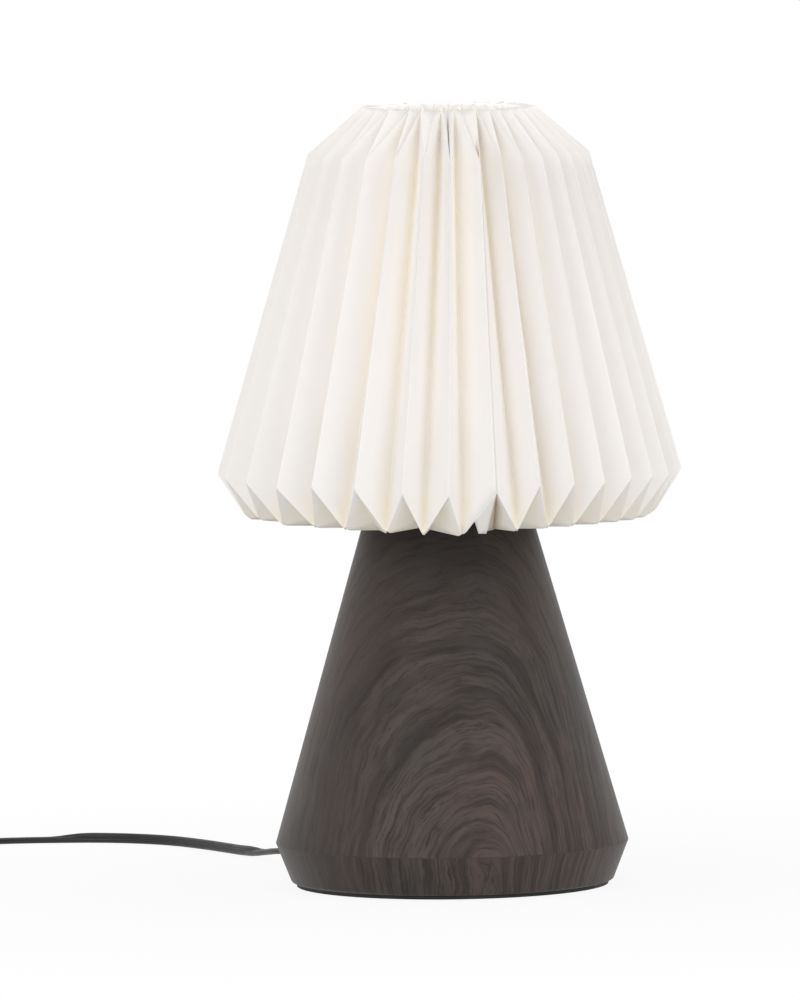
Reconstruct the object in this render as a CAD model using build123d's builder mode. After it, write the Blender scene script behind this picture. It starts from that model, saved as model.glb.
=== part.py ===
from build123d import *

import os
from math import cos, pi, radians, sin, sqrt, tan

os.makedirs("parts", exist_ok=True)

# Pleated table lamp, millimetres. The origin is under the middle of the base, Z is up, the front faces -Y.

# Turned base
BASE_FOOT_RADIUS = 83.0
BASE_RIM_RADIUS = 91.0
BASE_RIM_HEIGHT = 22.4
BASE_TOP_RADIUS = 38.5
BASE_TOP_HEIGHT = 207.0
BASE_FOOT_ROUND = 2.0
BASE_TOP_ROUND = 1.5
RECESS_RADIUS = 32.0
RECESS_CEILING = 40.0
PAD_RADIUS = 80.5
PAD_THICKNESS = 2.0

# Threaded tube on the axis and what holds it
TUBE_DIAMETER = 9.8
TUBE_BORE = 7.6
TUBE_FOOT = 30.0
TUBE_PROUD = 0.4
TUBE_CLEARANCE = 0.3
NUT_ACROSS_FLATS = 14.0
NUT_HEIGHT = 5.0
WASHER_RADIUS = 9.5
WASHER_HEIGHT = 1.6
SEAT_WASHER_RADIUS = 18.0
SEAT_WASHER_HEIGHT = 1.6
LOCK_NUT_ACROSS_FLATS = 15.0
LOCK_NUT_HEIGHT = 3.5
THREAD_CLEARANCE = 0.1

# Flat twin lead
LEAD_WIDTH = 5.4
LEAD_THICKNESS = 3.2
LEAD_HEIGHT = 8.2
LEAD_EXIT_ANGLE = 39.0
LEAD_INNER_BEND = 15.0
LEAD_FLOOR_GAP = 0.02
LEAD_ROUTE = ((-104.0, 148.0), (-127.0, 189.0), (-152.0, 222.0), (-187.0, 238.0), (-232.0, 239.0))
LEAD_TURN_Y = 219.0
LEAD_TURN_RISE = 0.6
BEND_SHARE = 0.45
RAISE = 10.0

# Room for cuts to run out past a face, and how near two edges' radii count as the same
CUT_OVERRUN = 1.0
RADIUS_MATCH = 0.01

# Cord bush in the base wall
BUSH_SEAT = 81.0
BUSH_BARREL_DIAMETER = 8.6
BUSH_BARREL_LENGTH = 14.0
BUSH_FLANGE_DIAMETER = 11.0
BUSH_FLANGE_THICKNESS = 2.5
BUSH_NOSE_LENGTH = 22.0
BUSH_NOSE_BIG = 9.4
BUSH_NOSE_SMALL = 7.2
BUSH_BORE = 5.7
BUSH_CLEARANCE = 0.1
BUSH_SPOT_DIAMETER = 12.0
LEAD_FIRST_RUN = 26.0
LEAD_LAST_RUN = 14.0

# Cord stop on the lead inside the recess
STOP_DISTANCE = 23.0
STOP_LENGTH = 9.0
STOP_WIDTH = 16.0
STOP_HALF_HEIGHT = 5.0
STOP_SCREW_OFFSET = 5.2
STOP_SCREW_DIAMETER = 2.6
STOP_HEAD_DIAMETER = 4.6
STOP_HEAD_HEIGHT = 1.6

# Lampholder for a small screw cap
CAP_NECK_RADIUS = 8.0
CAP_NECK_HEIGHT = 7.0
CAP_RADIUS = 15.5
CAP_HEIGHT = 20.0
CAP_SHOULDER = 15.0
CAP_WALL = 2.1
BODY_RADIUS = 13.9
BODY_BORE_RADIUS = 11.9
BODY_HEIGHT = 39.0
BODY_FLANGE_RADIUS = 18.5
BODY_FLANGE_HEIGHT = 3.0
BODY_LIP_HEIGHT = 2.5
BODY_LIP_RADIUS = 8.6
INSERT_RADIUS = 11.7
INSERT_BLOCK_RADIUS = 9.5
INSERT_BLOCK_HEIGHT = 6.0
INSERT_CAVITY_RADIUS = 7.3
INSERT_CAVITY_DEPTH = 25.0
INSERT_TOP_GAP = 0.2
CONTACT_THICKNESS = 0.6
CENTRE_CONTACT_RISE = 2.0
CENTRE_CONTACT_WIDTH = 4.0
CENTRE_CONTACT_BACK = 5.0
CENTRE_CONTACT_BEND = 1.5
CENTRE_CONTACT_FRONT = 3.5
SIDE_CONTACT_RADIUS = 7.0
SIDE_CONTACT_WIDTH = 4.4
SIDE_CONTACT_HEIGHT = 16.0
SIDE_SLOT_DEPTH = 1.6
TERMINAL_OFFSET = 5.6
TERMINAL_RADIUS = 1.6
TERMINAL_HEIGHT = 2.2
SHADE_RING_RADIUS = 19.5
SHADE_RING_BORE = 14.2
SHADE_RING_HEIGHT = 8.0
SHADE_RING_GROOVES = 20
SHADE_RING_GROOVE_RADIUS = 1.0

# Wire carrier
HUB_BORE = 14.3
HUB_RADIUS = 24.0
HUB_THICKNESS = 1.2
HUB_PLAY = 0.25
ARM_COUNT = 3
ARM_DIAMETER = 2.6
ARM_START_RADIUS = 20.8
ARM_KNEE_RADIUS = 38.0
ARM_BEND = 9.0
ARM_FIRST_ANGLE = 90.0
ARM_TOP_OVERRUN = 1.6
CARRIER_RING_DROP = 29.0
CARRIER_WIRE = 3.0
SHADE_SEAT_GAP = 0.2

# Folded shade, points as radius and height
PLEATS = 32
PLEAT_SPREAD = 0.2
PLEAT_START = -0.7
VALLEY_TOP = (44.5, 402.0)
VALLEY_FOOT = (105.0, 192.0)
RIDGE_SHOULDER_RADIUS = 72.7
RIDGE_SHOULDER_DROP = 23.0
RIDGE_FOOT_RADIUS = 119.5
RIDGE_FOOT_RISE = 23.0
HEM_FOLD_RADIUS = 89.0
RIM_FOLD_RADIUS = 33.0
SHEET_STEP_FOOT = 1.07
SHEET_STEP_TOP = 1.9

# Bulb with a small screw cap
BULB_GLOBE_RADIUS = 22.5
BULB_LENGTH = 78.0
BULB_GLASS = 0.9
BULB_NECK_RADIUS = 5.9
BULB_SHOULDER = 12.0
BULB_CAP_RADIUS = 6.9
BULB_CAP_HEIGHT = 19.0
BULB_CAP_WALL = 0.4
BULB_CAP_GROOVES = 4
BULB_CAP_GROOVE_DEPTH = 0.3
BULB_TIP_RADIUS = 3.0
BULB_TIP_HEIGHT = 1.5
BULB_INSULATOR_HEIGHT = 3.5
BULB_LIFT_GAP = 0.3

# Inline switch, lying along Y
SWITCH_X = -264.0
SWITCH_Y = 154.0
SWITCH_LENGTH = 60.0
SWITCH_WIDTH = 26.0
SWITCH_BOTTOM = 0.3
SWITCH_BASE_HEIGHT = 7.2
SWITCH_COVER_HEIGHT = 8.0
SWITCH_WALL = 2.0
SWITCH_EDGE_ROUND = 1.6
SWITCH_LEAD_HEIGHT = 7.5
SWITCH_LEAD_DEPTH = 8.0
SWITCH_HOLE = 5.7
ROCKER_LENGTH = 18.0
ROCKER_WIDTH = 9.0
ROCKER_GAP = 0.4
ROCKER_RISE = 2.6
ROCKER_SKIRT = 3.2
ROCKER_TILT = 9.0
ROCKER_PIVOT_DEPTH = 3.4
ROCKER_END_SLOPE = 1.2
ROCKER_END_DROP = 0.2
ROCKER_DISH = 1.7
ROCKER_SIDE_SLOPE = 0.8
PIVOT_DIAMETER = 2.0
PIVOT_CLEARANCE = 0.15
PIVOT_POST = 2.0
SWITCH_SCREW_OFFSET = 19.0
SWITCH_SCREW_SIDE = 7.6
SWITCH_SCREW_DIAMETER = 2.4
SWITCH_HEAD_DIAMETER = 4.6
SWITCH_HEAD_HEIGHT = 1.6
SWITCH_BOSS_DIAMETER = 5.4
TERMINAL_BLOCK_LENGTH = 7.0
TERMINAL_BLOCK_WIDTH = 4.0
TERMINAL_BLOCK_HEIGHT = 4.5
TERMINAL_BLOCK_OFFSET = 6.5
TERMINAL_BLOCK_SIDE = 4.0

# Coil of spare lead beside the lamp
COIL_Y = 62.0
COIL_OUTER_RADIUS = 36.0
COIL_PITCH = 5.1
COIL_TURNS = 7
COIL_LIFT = 1.3
COIL_LAYER = 6.1
COIL_GAP_STEP = 2.0
RUN_DROP = 34.0
TIE_WIDTH = 4.0
TIE_THICKNESS = 0.8
TIE_GAP = 0.3
TIE_ROUND = 2.2

# Two-pin plug
PLUG_BODY_LENGTH = 35.3
PLUG_TAPER_SHARE = 0.6
PLUG_FACE_WIDTH = 26.1
PLUG_FACE_HEIGHT = 13.7
PLUG_FACE_ROUND = 5.0
PLUG_REAR_WIDTH = 13.0
PLUG_REAR_HEIGHT = 10.0
PLUG_REAR_ROUND = 4.0
PLUG_FLOOR_GAP = 0.2
PIN_DIAMETER = 4.0
PIN_LENGTH = 19.0
PIN_SPACING = 18.6
PIN_SLEEVE_DIAMETER = 3.4
PIN_CORE_DIAMETER = 2.6
PIN_SLEEVE_LENGTH = 10.0
PIN_NOSE_ROUND = 1.4
RELIEF_LENGTH = 26.0
RELIEF_BIG = 9.2
RELIEF_SMALL = 6.8
RELIEF_GROOVES = 4
RELIEF_GROOVE_WIDTH = 1.4
RELIEF_GROOVE_DEPTH = 0.7
RELIEF_GROOVE_FIRST = 0.7
RELIEF_GROOVE_SPARE = 0.6
PLUG_TAIL = 44.0

# Heights and places that follow from the sizes above
EXIT_AZIMUTH = 90.0 + LEAD_EXIT_ANGLE
EXIT_DIRECTION = Vector(cos(radians(EXIT_AZIMUTH)), sin(radians(EXIT_AZIMUTH)), 0)
EXIT_SIDE = Vector(-EXIT_DIRECTION.Y, EXIT_DIRECTION.X, 0)
BUSH_END = BUSH_SEAT + BUSH_FLANGE_THICKNESS + BUSH_NOSE_LENGTH
SEAT_WASHER_TOP = BASE_TOP_HEIGHT + SEAT_WASHER_HEIGHT
CAP_FOOT = SEAT_WASHER_TOP + LOCK_NUT_HEIGHT
TUBE_TOP = CAP_FOOT + CAP_NECK_HEIGHT + TUBE_PROUD
BODY_FOOT = CAP_FOOT + CAP_HEIGHT
BODY_TOP = BODY_FOOT + BODY_HEIGHT
INSERT_FOOT = BODY_FOOT - INSERT_BLOCK_HEIGHT
INSERT_TOP = BODY_TOP - BODY_LIP_HEIGHT - INSERT_TOP_GAP
CAVITY_FLOOR = INSERT_TOP - INSERT_CAVITY_DEPTH
HUB_FOOT = BODY_FOOT + BODY_FLANGE_HEIGHT + HUB_PLAY
HUB_TOP = HUB_FOOT + HUB_THICKNESS
SHADE_RING_FOOT = HUB_TOP + HUB_PLAY
BULB_FOOT = CAVITY_FLOOR + CENTRE_CONTACT_RISE + BULB_LIFT_GAP
CARRIER_RING_HEIGHT = VALLEY_TOP[1] - CARRIER_RING_DROP
HEM_FOLD = (HEM_FOLD_RADIUS, VALLEY_FOOT[1])
RIM_FOLD = (RIM_FOLD_RADIUS, VALLEY_TOP[1])
RIDGE_SHOULDER = (RIDGE_SHOULDER_RADIUS, VALLEY_TOP[1] - RIDGE_SHOULDER_DROP)
RIDGE_FOOT = (RIDGE_FOOT_RADIUS, VALLEY_FOOT[1] + RIDGE_FOOT_RISE)
LEAD_FLOOR = LEAD_WIDTH / 2 + LEAD_FLOOR_GAP
SWITCH_FRONT = SWITCH_Y - SWITCH_LENGTH / 2
SWITCH_REAR = SWITCH_Y + SWITCH_LENGTH / 2
SWITCH_SPLIT = SWITCH_BOTTOM + SWITCH_BASE_HEIGHT
SWITCH_TOP = SWITCH_SPLIT + SWITCH_COVER_HEIGHT
COIL_X = SWITCH_X - COIL_OUTER_RADIUS
COIL_FLOOR = LEAD_FLOOR + COIL_LIFT
PLUG_AXIS = PLUG_FACE_HEIGHT / 2 + PLUG_FLOOR_GAP
PLUG_TAIL_END = COIL_Y - LEAD_WIDTH - PLUG_TAIL
PLUG_REAR = PLUG_TAIL_END - RELIEF_LENGTH
PLUG_FACE = PLUG_REAR - PLUG_BODY_LENGTH


def bend_radii(points):
    """Radius of each bend in a route, as large as its two runs allow."""
    radii = []
    for before, here, after in zip(points, points[1:], points[2:]):
        first = Vector(here) - Vector(before)
        second = Vector(after) - Vector(here)
        half_turn = radians(first.get_angle(second)) / 2
        radii.append(BEND_SHARE * min(first.length, second.length) / tan(half_turn))
    return radii


def upright_plane(route):
    """Plane across the start of a route, its own Y pointing up."""
    along = route % 0
    return Plane(origin=route @ 0, x_dir=Vector(0, 0, 1).cross(along), z_dir=along)


def raised(route):
    """The same route a little higher, which keeps the flat lead upright along it."""
    return route.moved(Location((0, 0, RAISE)))


def tell_tube(name, part, section_area, route):
    """Print how a tube's volume compares with its section times its length."""
    share = part.volume / (section_area * route.length)
    print(f"{name}: length {route.length:.1f} mm, volume over section times length {share:.4f}")


# Base
with BuildPart() as base_body:
    with BuildSketch(Plane.XZ) as base_profile:
        with BuildLine() as base_outline:
            Polyline(
                (TUBE_DIAMETER / 2 + TUBE_CLEARANCE, BASE_TOP_HEIGHT),
                (BASE_TOP_RADIUS, BASE_TOP_HEIGHT),
                (BASE_RIM_RADIUS, BASE_RIM_HEIGHT),
                (BASE_FOOT_RADIUS, PAD_THICKNESS),
                (RECESS_RADIUS, PAD_THICKNESS),
                (RECESS_RADIUS, RECESS_CEILING),
                (TUBE_DIAMETER / 2 + TUBE_CLEARANCE, RECESS_CEILING),
                close=True,
            )
        make_face()
    revolve(axis=Axis.Z)
    rounds = base_body.edges().filter_by(GeomType.CIRCLE)
    fillet(rounds.filter_by(lambda edge: abs(edge.radius - BASE_FOOT_RADIUS) < RADIUS_MATCH), BASE_FOOT_ROUND)
    fillet(rounds.filter_by(lambda edge: abs(edge.radius - BASE_TOP_RADIUS) < RADIUS_MATCH), BASE_TOP_ROUND)
    exit_plane = Plane(EXIT_DIRECTION * RECESS_RADIUS / 2 + Vector(0, 0, LEAD_HEIGHT), z_dir=EXIT_DIRECTION)
    with BuildSketch(exit_plane):
        Circle(BUSH_BARREL_DIAMETER / 2 + BUSH_CLEARANCE)
    extrude(amount=BASE_RIM_RADIUS, mode=Mode.SUBTRACT)
    with BuildSketch(Plane(EXIT_DIRECTION * BUSH_SEAT + Vector(0, 0, LEAD_HEIGHT), z_dir=EXIT_DIRECTION)):
        Circle(BUSH_SPOT_DIAMETER / 2)
    extrude(amount=BUSH_SPOT_DIAMETER, mode=Mode.SUBTRACT)
base_body.part.label = "base_body"
export_step(base_body.part, "parts/base_body.step")

with BuildPart() as base_pad:
    Cylinder(PAD_RADIUS, PAD_THICKNESS, align=(Align.CENTER, Align.CENTER, Align.MIN))
base_pad.part.label = "base_pad"
export_step(base_pad.part, "parts/base_pad.step")

# Tube through the base, with its nuts and washers
with BuildPart() as stem_tube:
    with BuildSketch(Plane.XY.offset(TUBE_FOOT)):
        Circle(TUBE_DIAMETER / 2)
        Circle(TUBE_BORE / 2, mode=Mode.SUBTRACT)
    extrude(amount=TUBE_TOP - TUBE_FOOT)
stem_tube.part.label = "stem_tube"
export_step(stem_tube.part, "parts/stem_tube.step")

with BuildPart() as tube_washer:
    with BuildSketch(Plane.XY.offset(RECESS_CEILING - WASHER_HEIGHT)):
        Circle(WASHER_RADIUS)
        Circle(TUBE_DIAMETER / 2 + THREAD_CLEARANCE, mode=Mode.SUBTRACT)
    extrude(amount=WASHER_HEIGHT)
tube_washer.part.label = "tube_washer"
export_step(tube_washer.part, "parts/tube_washer.step")

with BuildPart() as tube_nut:
    with BuildSketch(Plane.XY.offset(RECESS_CEILING - WASHER_HEIGHT - NUT_HEIGHT)):
        RegularPolygon(NUT_ACROSS_FLATS / 2, 6, major_radius=False)
        Circle(TUBE_DIAMETER / 2 + THREAD_CLEARANCE, mode=Mode.SUBTRACT)
    extrude(amount=NUT_HEIGHT)
tube_nut.part.label = "tube_nut"
export_step(tube_nut.part, "parts/tube_nut.step")

with BuildPart() as seat_washer:
    with BuildSketch(Plane.XY.offset(BASE_TOP_HEIGHT)):
        Circle(SEAT_WASHER_RADIUS)
        Circle(TUBE_DIAMETER / 2 + THREAD_CLEARANCE, mode=Mode.SUBTRACT)
    extrude(amount=SEAT_WASHER_HEIGHT)
seat_washer.part.label = "seat_washer"
export_step(seat_washer.part, "parts/seat_washer.step")

with BuildPart() as lock_nut:
    with BuildSketch(Plane.XY.offset(SEAT_WASHER_TOP)):
        RegularPolygon(LOCK_NUT_ACROSS_FLATS / 2, 6, major_radius=False)
        Circle(TUBE_DIAMETER / 2 + THREAD_CLEARANCE, mode=Mode.SUBTRACT)
    extrude(amount=LOCK_NUT_HEIGHT)
lock_nut.part.label = "lock_nut"
export_step(lock_nut.part, "parts/lock_nut.step")

# Lead inside the base: in through the bush, up through the tube, to the lampholder
inner_start = EXIT_DIRECTION * BUSH_END + Vector(0, 0, LEAD_HEIGHT)
with BuildLine() as inner_route:
    FilletPolyline(
        inner_start,
        (0, 0, LEAD_HEIGHT),
        (0, 0, INSERT_FOOT),
        radius=LEAD_INNER_BEND,
    )
inner_wire = Wire(inner_route.line.edges())
with BuildSketch(upright_plane(inner_wire)) as inner_section:
    SlotOverall(LEAD_WIDTH, LEAD_THICKNESS, rotation=90)
with BuildPart() as inner_cord:
    sweep(inner_section.sketch, path=inner_wire)
inner_cord.part.label = "inner_cord"
export_step(inner_cord.part, "parts/inner_cord.step")
tell_tube("inner_cord", inner_cord.part, inner_section.sketch.area, inner_wire)

# Cord bush, its nose tapering outside the base
with BuildPart() as cord_bush:
    with BuildSketch(Plane(Vector(0, 0, LEAD_HEIGHT), x_dir=EXIT_DIRECTION, z_dir=-EXIT_SIDE)) as bush_profile:
        with BuildLine() as bush_outline:
            Polyline(
                (BUSH_SEAT - BUSH_BARREL_LENGTH, BUSH_BORE / 2),
                (BUSH_SEAT - BUSH_BARREL_LENGTH, BUSH_BARREL_DIAMETER / 2),
                (BUSH_SEAT, BUSH_BARREL_DIAMETER / 2),
                (BUSH_SEAT, BUSH_FLANGE_DIAMETER / 2),
                (BUSH_SEAT + BUSH_FLANGE_THICKNESS, BUSH_FLANGE_DIAMETER / 2),
                (BUSH_SEAT + BUSH_FLANGE_THICKNESS, BUSH_NOSE_BIG / 2),
                (BUSH_END, BUSH_NOSE_SMALL / 2),
                (BUSH_END, BUSH_BORE / 2),
                close=True,
            )
        make_face()
    revolve(axis=Axis((0, 0, LEAD_HEIGHT), EXIT_DIRECTION))
cord_bush.part.label = "cord_bush"
export_step(cord_bush.part, "parts/cord_bush.step")

# Cord stop: two halves screwed together round the lead
stop_plane = Plane(
    EXIT_DIRECTION * STOP_DISTANCE + Vector(0, 0, LEAD_HEIGHT), x_dir=EXIT_SIDE, z_dir=Vector(0, 0, 1)
)
stop_screw_places = [(-STOP_SCREW_OFFSET, 0), (STOP_SCREW_OFFSET, 0)]
with BuildPart() as stop_lower:
    with BuildSketch(stop_plane.offset(-STOP_HALF_HEIGHT)):
        Rectangle(STOP_WIDTH, STOP_LENGTH)
    extrude(amount=STOP_HALF_HEIGHT)
    with BuildSketch(stop_plane.offset(-LEAD_WIDTH / 2)):
        Rectangle(LEAD_THICKNESS, STOP_LENGTH)
    extrude(amount=LEAD_WIDTH / 2, mode=Mode.SUBTRACT)
    with BuildSketch(stop_plane.offset(-STOP_HALF_HEIGHT)):
        with Locations(*stop_screw_places):
            Circle(STOP_SCREW_DIAMETER / 2 + THREAD_CLEARANCE)
    extrude(amount=STOP_HALF_HEIGHT, mode=Mode.SUBTRACT)
stop_lower.part.label = "stop_lower"
export_step(stop_lower.part, "parts/stop_lower.step")

with BuildPart() as stop_upper:
    with BuildSketch(stop_plane):
        Rectangle(STOP_WIDTH, STOP_LENGTH)
    extrude(amount=STOP_HALF_HEIGHT)
    with BuildSketch(stop_plane):
        Rectangle(LEAD_THICKNESS, STOP_LENGTH)
    extrude(amount=LEAD_WIDTH / 2, mode=Mode.SUBTRACT)
    with BuildSketch(stop_plane):
        with Locations(*stop_screw_places):
            Circle(STOP_SCREW_DIAMETER / 2 + THREAD_CLEARANCE)
    extrude(amount=STOP_HALF_HEIGHT, mode=Mode.SUBTRACT)
stop_upper.part.label = "stop_upper"
export_step(stop_upper.part, "parts/stop_upper.step")

with BuildPart() as stop_screws:
    with BuildSketch(stop_plane.offset(-STOP_HALF_HEIGHT)):
        with Locations(*stop_screw_places):
            Circle(STOP_SCREW_DIAMETER / 2)
    extrude(amount=2 * STOP_HALF_HEIGHT)
    with BuildSketch(stop_plane.offset(STOP_HALF_HEIGHT)):
        with Locations(*stop_screw_places):
            Circle(STOP_HEAD_DIAMETER / 2)
    extrude(amount=STOP_HEAD_HEIGHT)
stop_screws.part.label = "stop_screws"
export_step(stop_screws.part, "parts/stop_screws.step")

# Lampholder
with BuildPart() as holder_cap:
    with BuildSketch(Plane.XZ) as cap_profile:
        with BuildLine() as cap_outline:
            Polyline(
                (TUBE_DIAMETER / 2 + THREAD_CLEARANCE, CAP_FOOT),
                (CAP_NECK_RADIUS, CAP_FOOT),
                (CAP_NECK_RADIUS, CAP_FOOT + CAP_NECK_HEIGHT),
                (CAP_RADIUS, CAP_FOOT + CAP_SHOULDER),
                (CAP_RADIUS, BODY_FOOT),
                (CAP_RADIUS - CAP_WALL, BODY_FOOT),
                (CAP_RADIUS - CAP_WALL, CAP_FOOT + CAP_SHOULDER + CAP_WALL / 2),
                (CAP_NECK_RADIUS - CAP_WALL / 2, CAP_FOOT + CAP_NECK_HEIGHT + CAP_WALL / 2),
                (TUBE_DIAMETER / 2 + THREAD_CLEARANCE, CAP_FOOT + CAP_NECK_HEIGHT + CAP_WALL / 2),
                close=True,
            )
        make_face()
    revolve(axis=Axis.Z)
holder_cap.part.label = "holder_cap"
export_step(holder_cap.part, "parts/holder_cap.step")

with BuildPart() as holder_body:
    with BuildSketch(Plane.XZ) as body_profile:
        with BuildLine() as body_outline:
            Polyline(
                (BODY_BORE_RADIUS, BODY_FOOT),
                (BODY_FLANGE_RADIUS, BODY_FOOT),
                (BODY_FLANGE_RADIUS, BODY_FOOT + BODY_FLANGE_HEIGHT),
                (BODY_RADIUS, BODY_FOOT + BODY_FLANGE_HEIGHT),
                (BODY_RADIUS, BODY_TOP),
                (BODY_LIP_RADIUS, BODY_TOP),
                (BODY_LIP_RADIUS, BODY_TOP - BODY_LIP_HEIGHT),
                (BODY_BORE_RADIUS, BODY_TOP - BODY_LIP_HEIGHT),
                close=True,
            )
        make_face()
    revolve(axis=Axis.Z)
holder_body.part.label = "holder_body"
export_step(holder_body.part, "parts/holder_body.step")

with BuildPart() as holder_insert:
    with BuildSketch(Plane.XZ) as insert_profile:
        with BuildLine() as insert_outline:
            Polyline(
                (0, INSERT_FOOT),
                (INSERT_BLOCK_RADIUS, INSERT_FOOT),
                (INSERT_BLOCK_RADIUS, BODY_FOOT),
                (INSERT_RADIUS, BODY_FOOT),
                (INSERT_RADIUS, INSERT_TOP),
                (INSERT_CAVITY_RADIUS, INSERT_TOP),
                (INSERT_CAVITY_RADIUS, CAVITY_FLOOR),
                (0, CAVITY_FLOOR),
                close=True,
            )
        make_face()
    revolve(axis=Axis.Z)
    with BuildSketch(Plane.XY.offset(CAVITY_FLOOR)):
        with Locations((SIDE_CONTACT_RADIUS + SIDE_SLOT_DEPTH / 2, 0)):
            Rectangle(SIDE_SLOT_DEPTH, SIDE_CONTACT_WIDTH + 2 * THREAD_CLEARANCE)
    extrude(amount=SIDE_CONTACT_HEIGHT + THREAD_CLEARANCE, mode=Mode.SUBTRACT)
holder_insert.part.label = "holder_insert"
export_step(holder_insert.part, "parts/holder_insert.step")

with BuildPart() as centre_contact:
    with BuildSketch(Plane.XZ.offset(-CENTRE_CONTACT_WIDTH / 2)) as contact_profile:
        with BuildLine() as contact_outline:
            Polyline(
                (-CENTRE_CONTACT_BACK, CAVITY_FLOOR),
                (-CENTRE_CONTACT_BEND, CAVITY_FLOOR),
                (CENTRE_CONTACT_FRONT, CAVITY_FLOOR + CENTRE_CONTACT_RISE - CONTACT_THICKNESS),
                (CENTRE_CONTACT_FRONT, CAVITY_FLOOR + CENTRE_CONTACT_RISE),
                (-CENTRE_CONTACT_BEND, CAVITY_FLOOR + CONTACT_THICKNESS),
                (-CENTRE_CONTACT_BACK, CAVITY_FLOOR + CONTACT_THICKNESS),
                close=True,
            )
        make_face()
    extrude(amount=CENTRE_CONTACT_WIDTH)
centre_contact.part.label = "centre_contact"
export_step(centre_contact.part, "parts/centre_contact.step")

with BuildPart() as side_contact:
    with BuildSketch(Plane.XY.offset(CAVITY_FLOOR)):
        with Locations((SIDE_CONTACT_RADIUS + SIDE_SLOT_DEPTH - CONTACT_THICKNESS, 0)):
            Rectangle(2 * CONTACT_THICKNESS, SIDE_CONTACT_WIDTH)
    extrude(amount=SIDE_CONTACT_HEIGHT)
side_contact.part.label = "side_contact"
export_step(side_contact.part, "parts/side_contact.step")

with BuildPart() as terminal_screws:
    with BuildSketch(Plane.XY.offset(INSERT_FOOT - TERMINAL_HEIGHT)):
        with Locations((-TERMINAL_OFFSET, 0), (TERMINAL_OFFSET, 0)):
            Circle(TERMINAL_RADIUS)
    extrude(amount=TERMINAL_HEIGHT)
terminal_screws.part.label = "terminal_screws"
export_step(terminal_screws.part, "parts/terminal_screws.step")

with BuildPart() as shade_ring:
    with BuildSketch(Plane.XY.offset(SHADE_RING_FOOT)):
        Circle(SHADE_RING_RADIUS)
        Circle(SHADE_RING_BORE, mode=Mode.SUBTRACT)
        with PolarLocations(SHADE_RING_RADIUS, SHADE_RING_GROOVES):
            Circle(SHADE_RING_GROOVE_RADIUS, mode=Mode.SUBTRACT)
    extrude(amount=SHADE_RING_HEIGHT)
shade_ring.part.label = "shade_ring"
export_step(shade_ring.part, "parts/shade_ring.step")

# Wire carrier. The top ring just clears the inner side of the valley creases.
def sheet_step(height):
    """How far inwards the sheet's inner side lies at a height."""
    share = (height - VALLEY_FOOT[1]) / (VALLEY_TOP[1] - VALLEY_FOOT[1])
    return SHEET_STEP_FOOT + (SHEET_STEP_TOP - SHEET_STEP_FOOT) * share


valley_slope = (VALLEY_FOOT[0] - VALLEY_TOP[0]) / (VALLEY_TOP[1] - VALLEY_FOOT[1])
seat_radius = VALLEY_TOP[0] + valley_slope * (VALLEY_TOP[1] - CARRIER_RING_HEIGHT)
seat_radius = seat_radius - sheet_step(CARRIER_RING_HEIGHT)
carrier_ring_radius = seat_radius - (CARRIER_WIRE / 2 + SHADE_SEAT_GAP) * sqrt(1 + valley_slope**2)
arm_top_radius = carrier_ring_radius - CARRIER_WIRE / 2 - ARM_DIAMETER / 2
arm_height = HUB_TOP + ARM_DIAMETER / 2

with BuildPart() as carrier_hub:
    with BuildSketch(Plane.XY.offset(HUB_FOOT)):
        Circle(HUB_RADIUS)
        Circle(HUB_BORE, mode=Mode.SUBTRACT)
    extrude(amount=HUB_THICKNESS)
carrier_hub.part.label = "carrier_hub"
export_step(carrier_hub.part, "parts/carrier_hub.step")

arm_slope = (arm_top_radius - ARM_KNEE_RADIUS) / (CARRIER_RING_HEIGHT - arm_height)
with BuildLine(Plane.XZ) as arm_route:
    FilletPolyline(
        (ARM_START_RADIUS, arm_height),
        (ARM_KNEE_RADIUS, arm_height),
        (arm_top_radius + arm_slope * ARM_TOP_OVERRUN, CARRIER_RING_HEIGHT + ARM_TOP_OVERRUN),
        radius=ARM_BEND,
    )
arm_line = Wire(arm_route.line.edges())
with BuildSketch(upright_plane(arm_line)) as arm_section:
    Circle(ARM_DIAMETER / 2)
with BuildPart() as arm_wire:
    sweep(arm_section.sketch, path=arm_line)
with BuildPart() as carrier_arms:
    with PolarLocations(0, ARM_COUNT, start_angle=ARM_FIRST_ANGLE):
        add(arm_wire.part)
carrier_arms.part.label = "carrier_arms"
export_step(carrier_arms.part, "parts/carrier_arms.step")

with BuildPart() as carrier_ring:
    with BuildSketch(Plane.XZ):
        with Locations((carrier_ring_radius, CARRIER_RING_HEIGHT)):
            Circle(CARRIER_WIRE / 2)
    revolve(axis=Axis.Z)
carrier_ring.part.label = "carrier_ring"
export_step(carrier_ring.part, "parts/carrier_ring.step")


# Folded shade. Ridges and valleys alternate round the axis, a little wider apart on the left than on the
# right. Both rims are folded back into the pleats.
def pleat_point(point, turn, inner):
    """A point of the sheet from its radius and height at one turn of the pleating."""
    radius = point[0] - (sheet_step(point[1]) if inner else 0)
    azimuth = turn + PLEAT_SPREAD * (cos(turn) - 1)
    return (radius * sin(azimuth), -radius * cos(azimuth), point[1])


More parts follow.
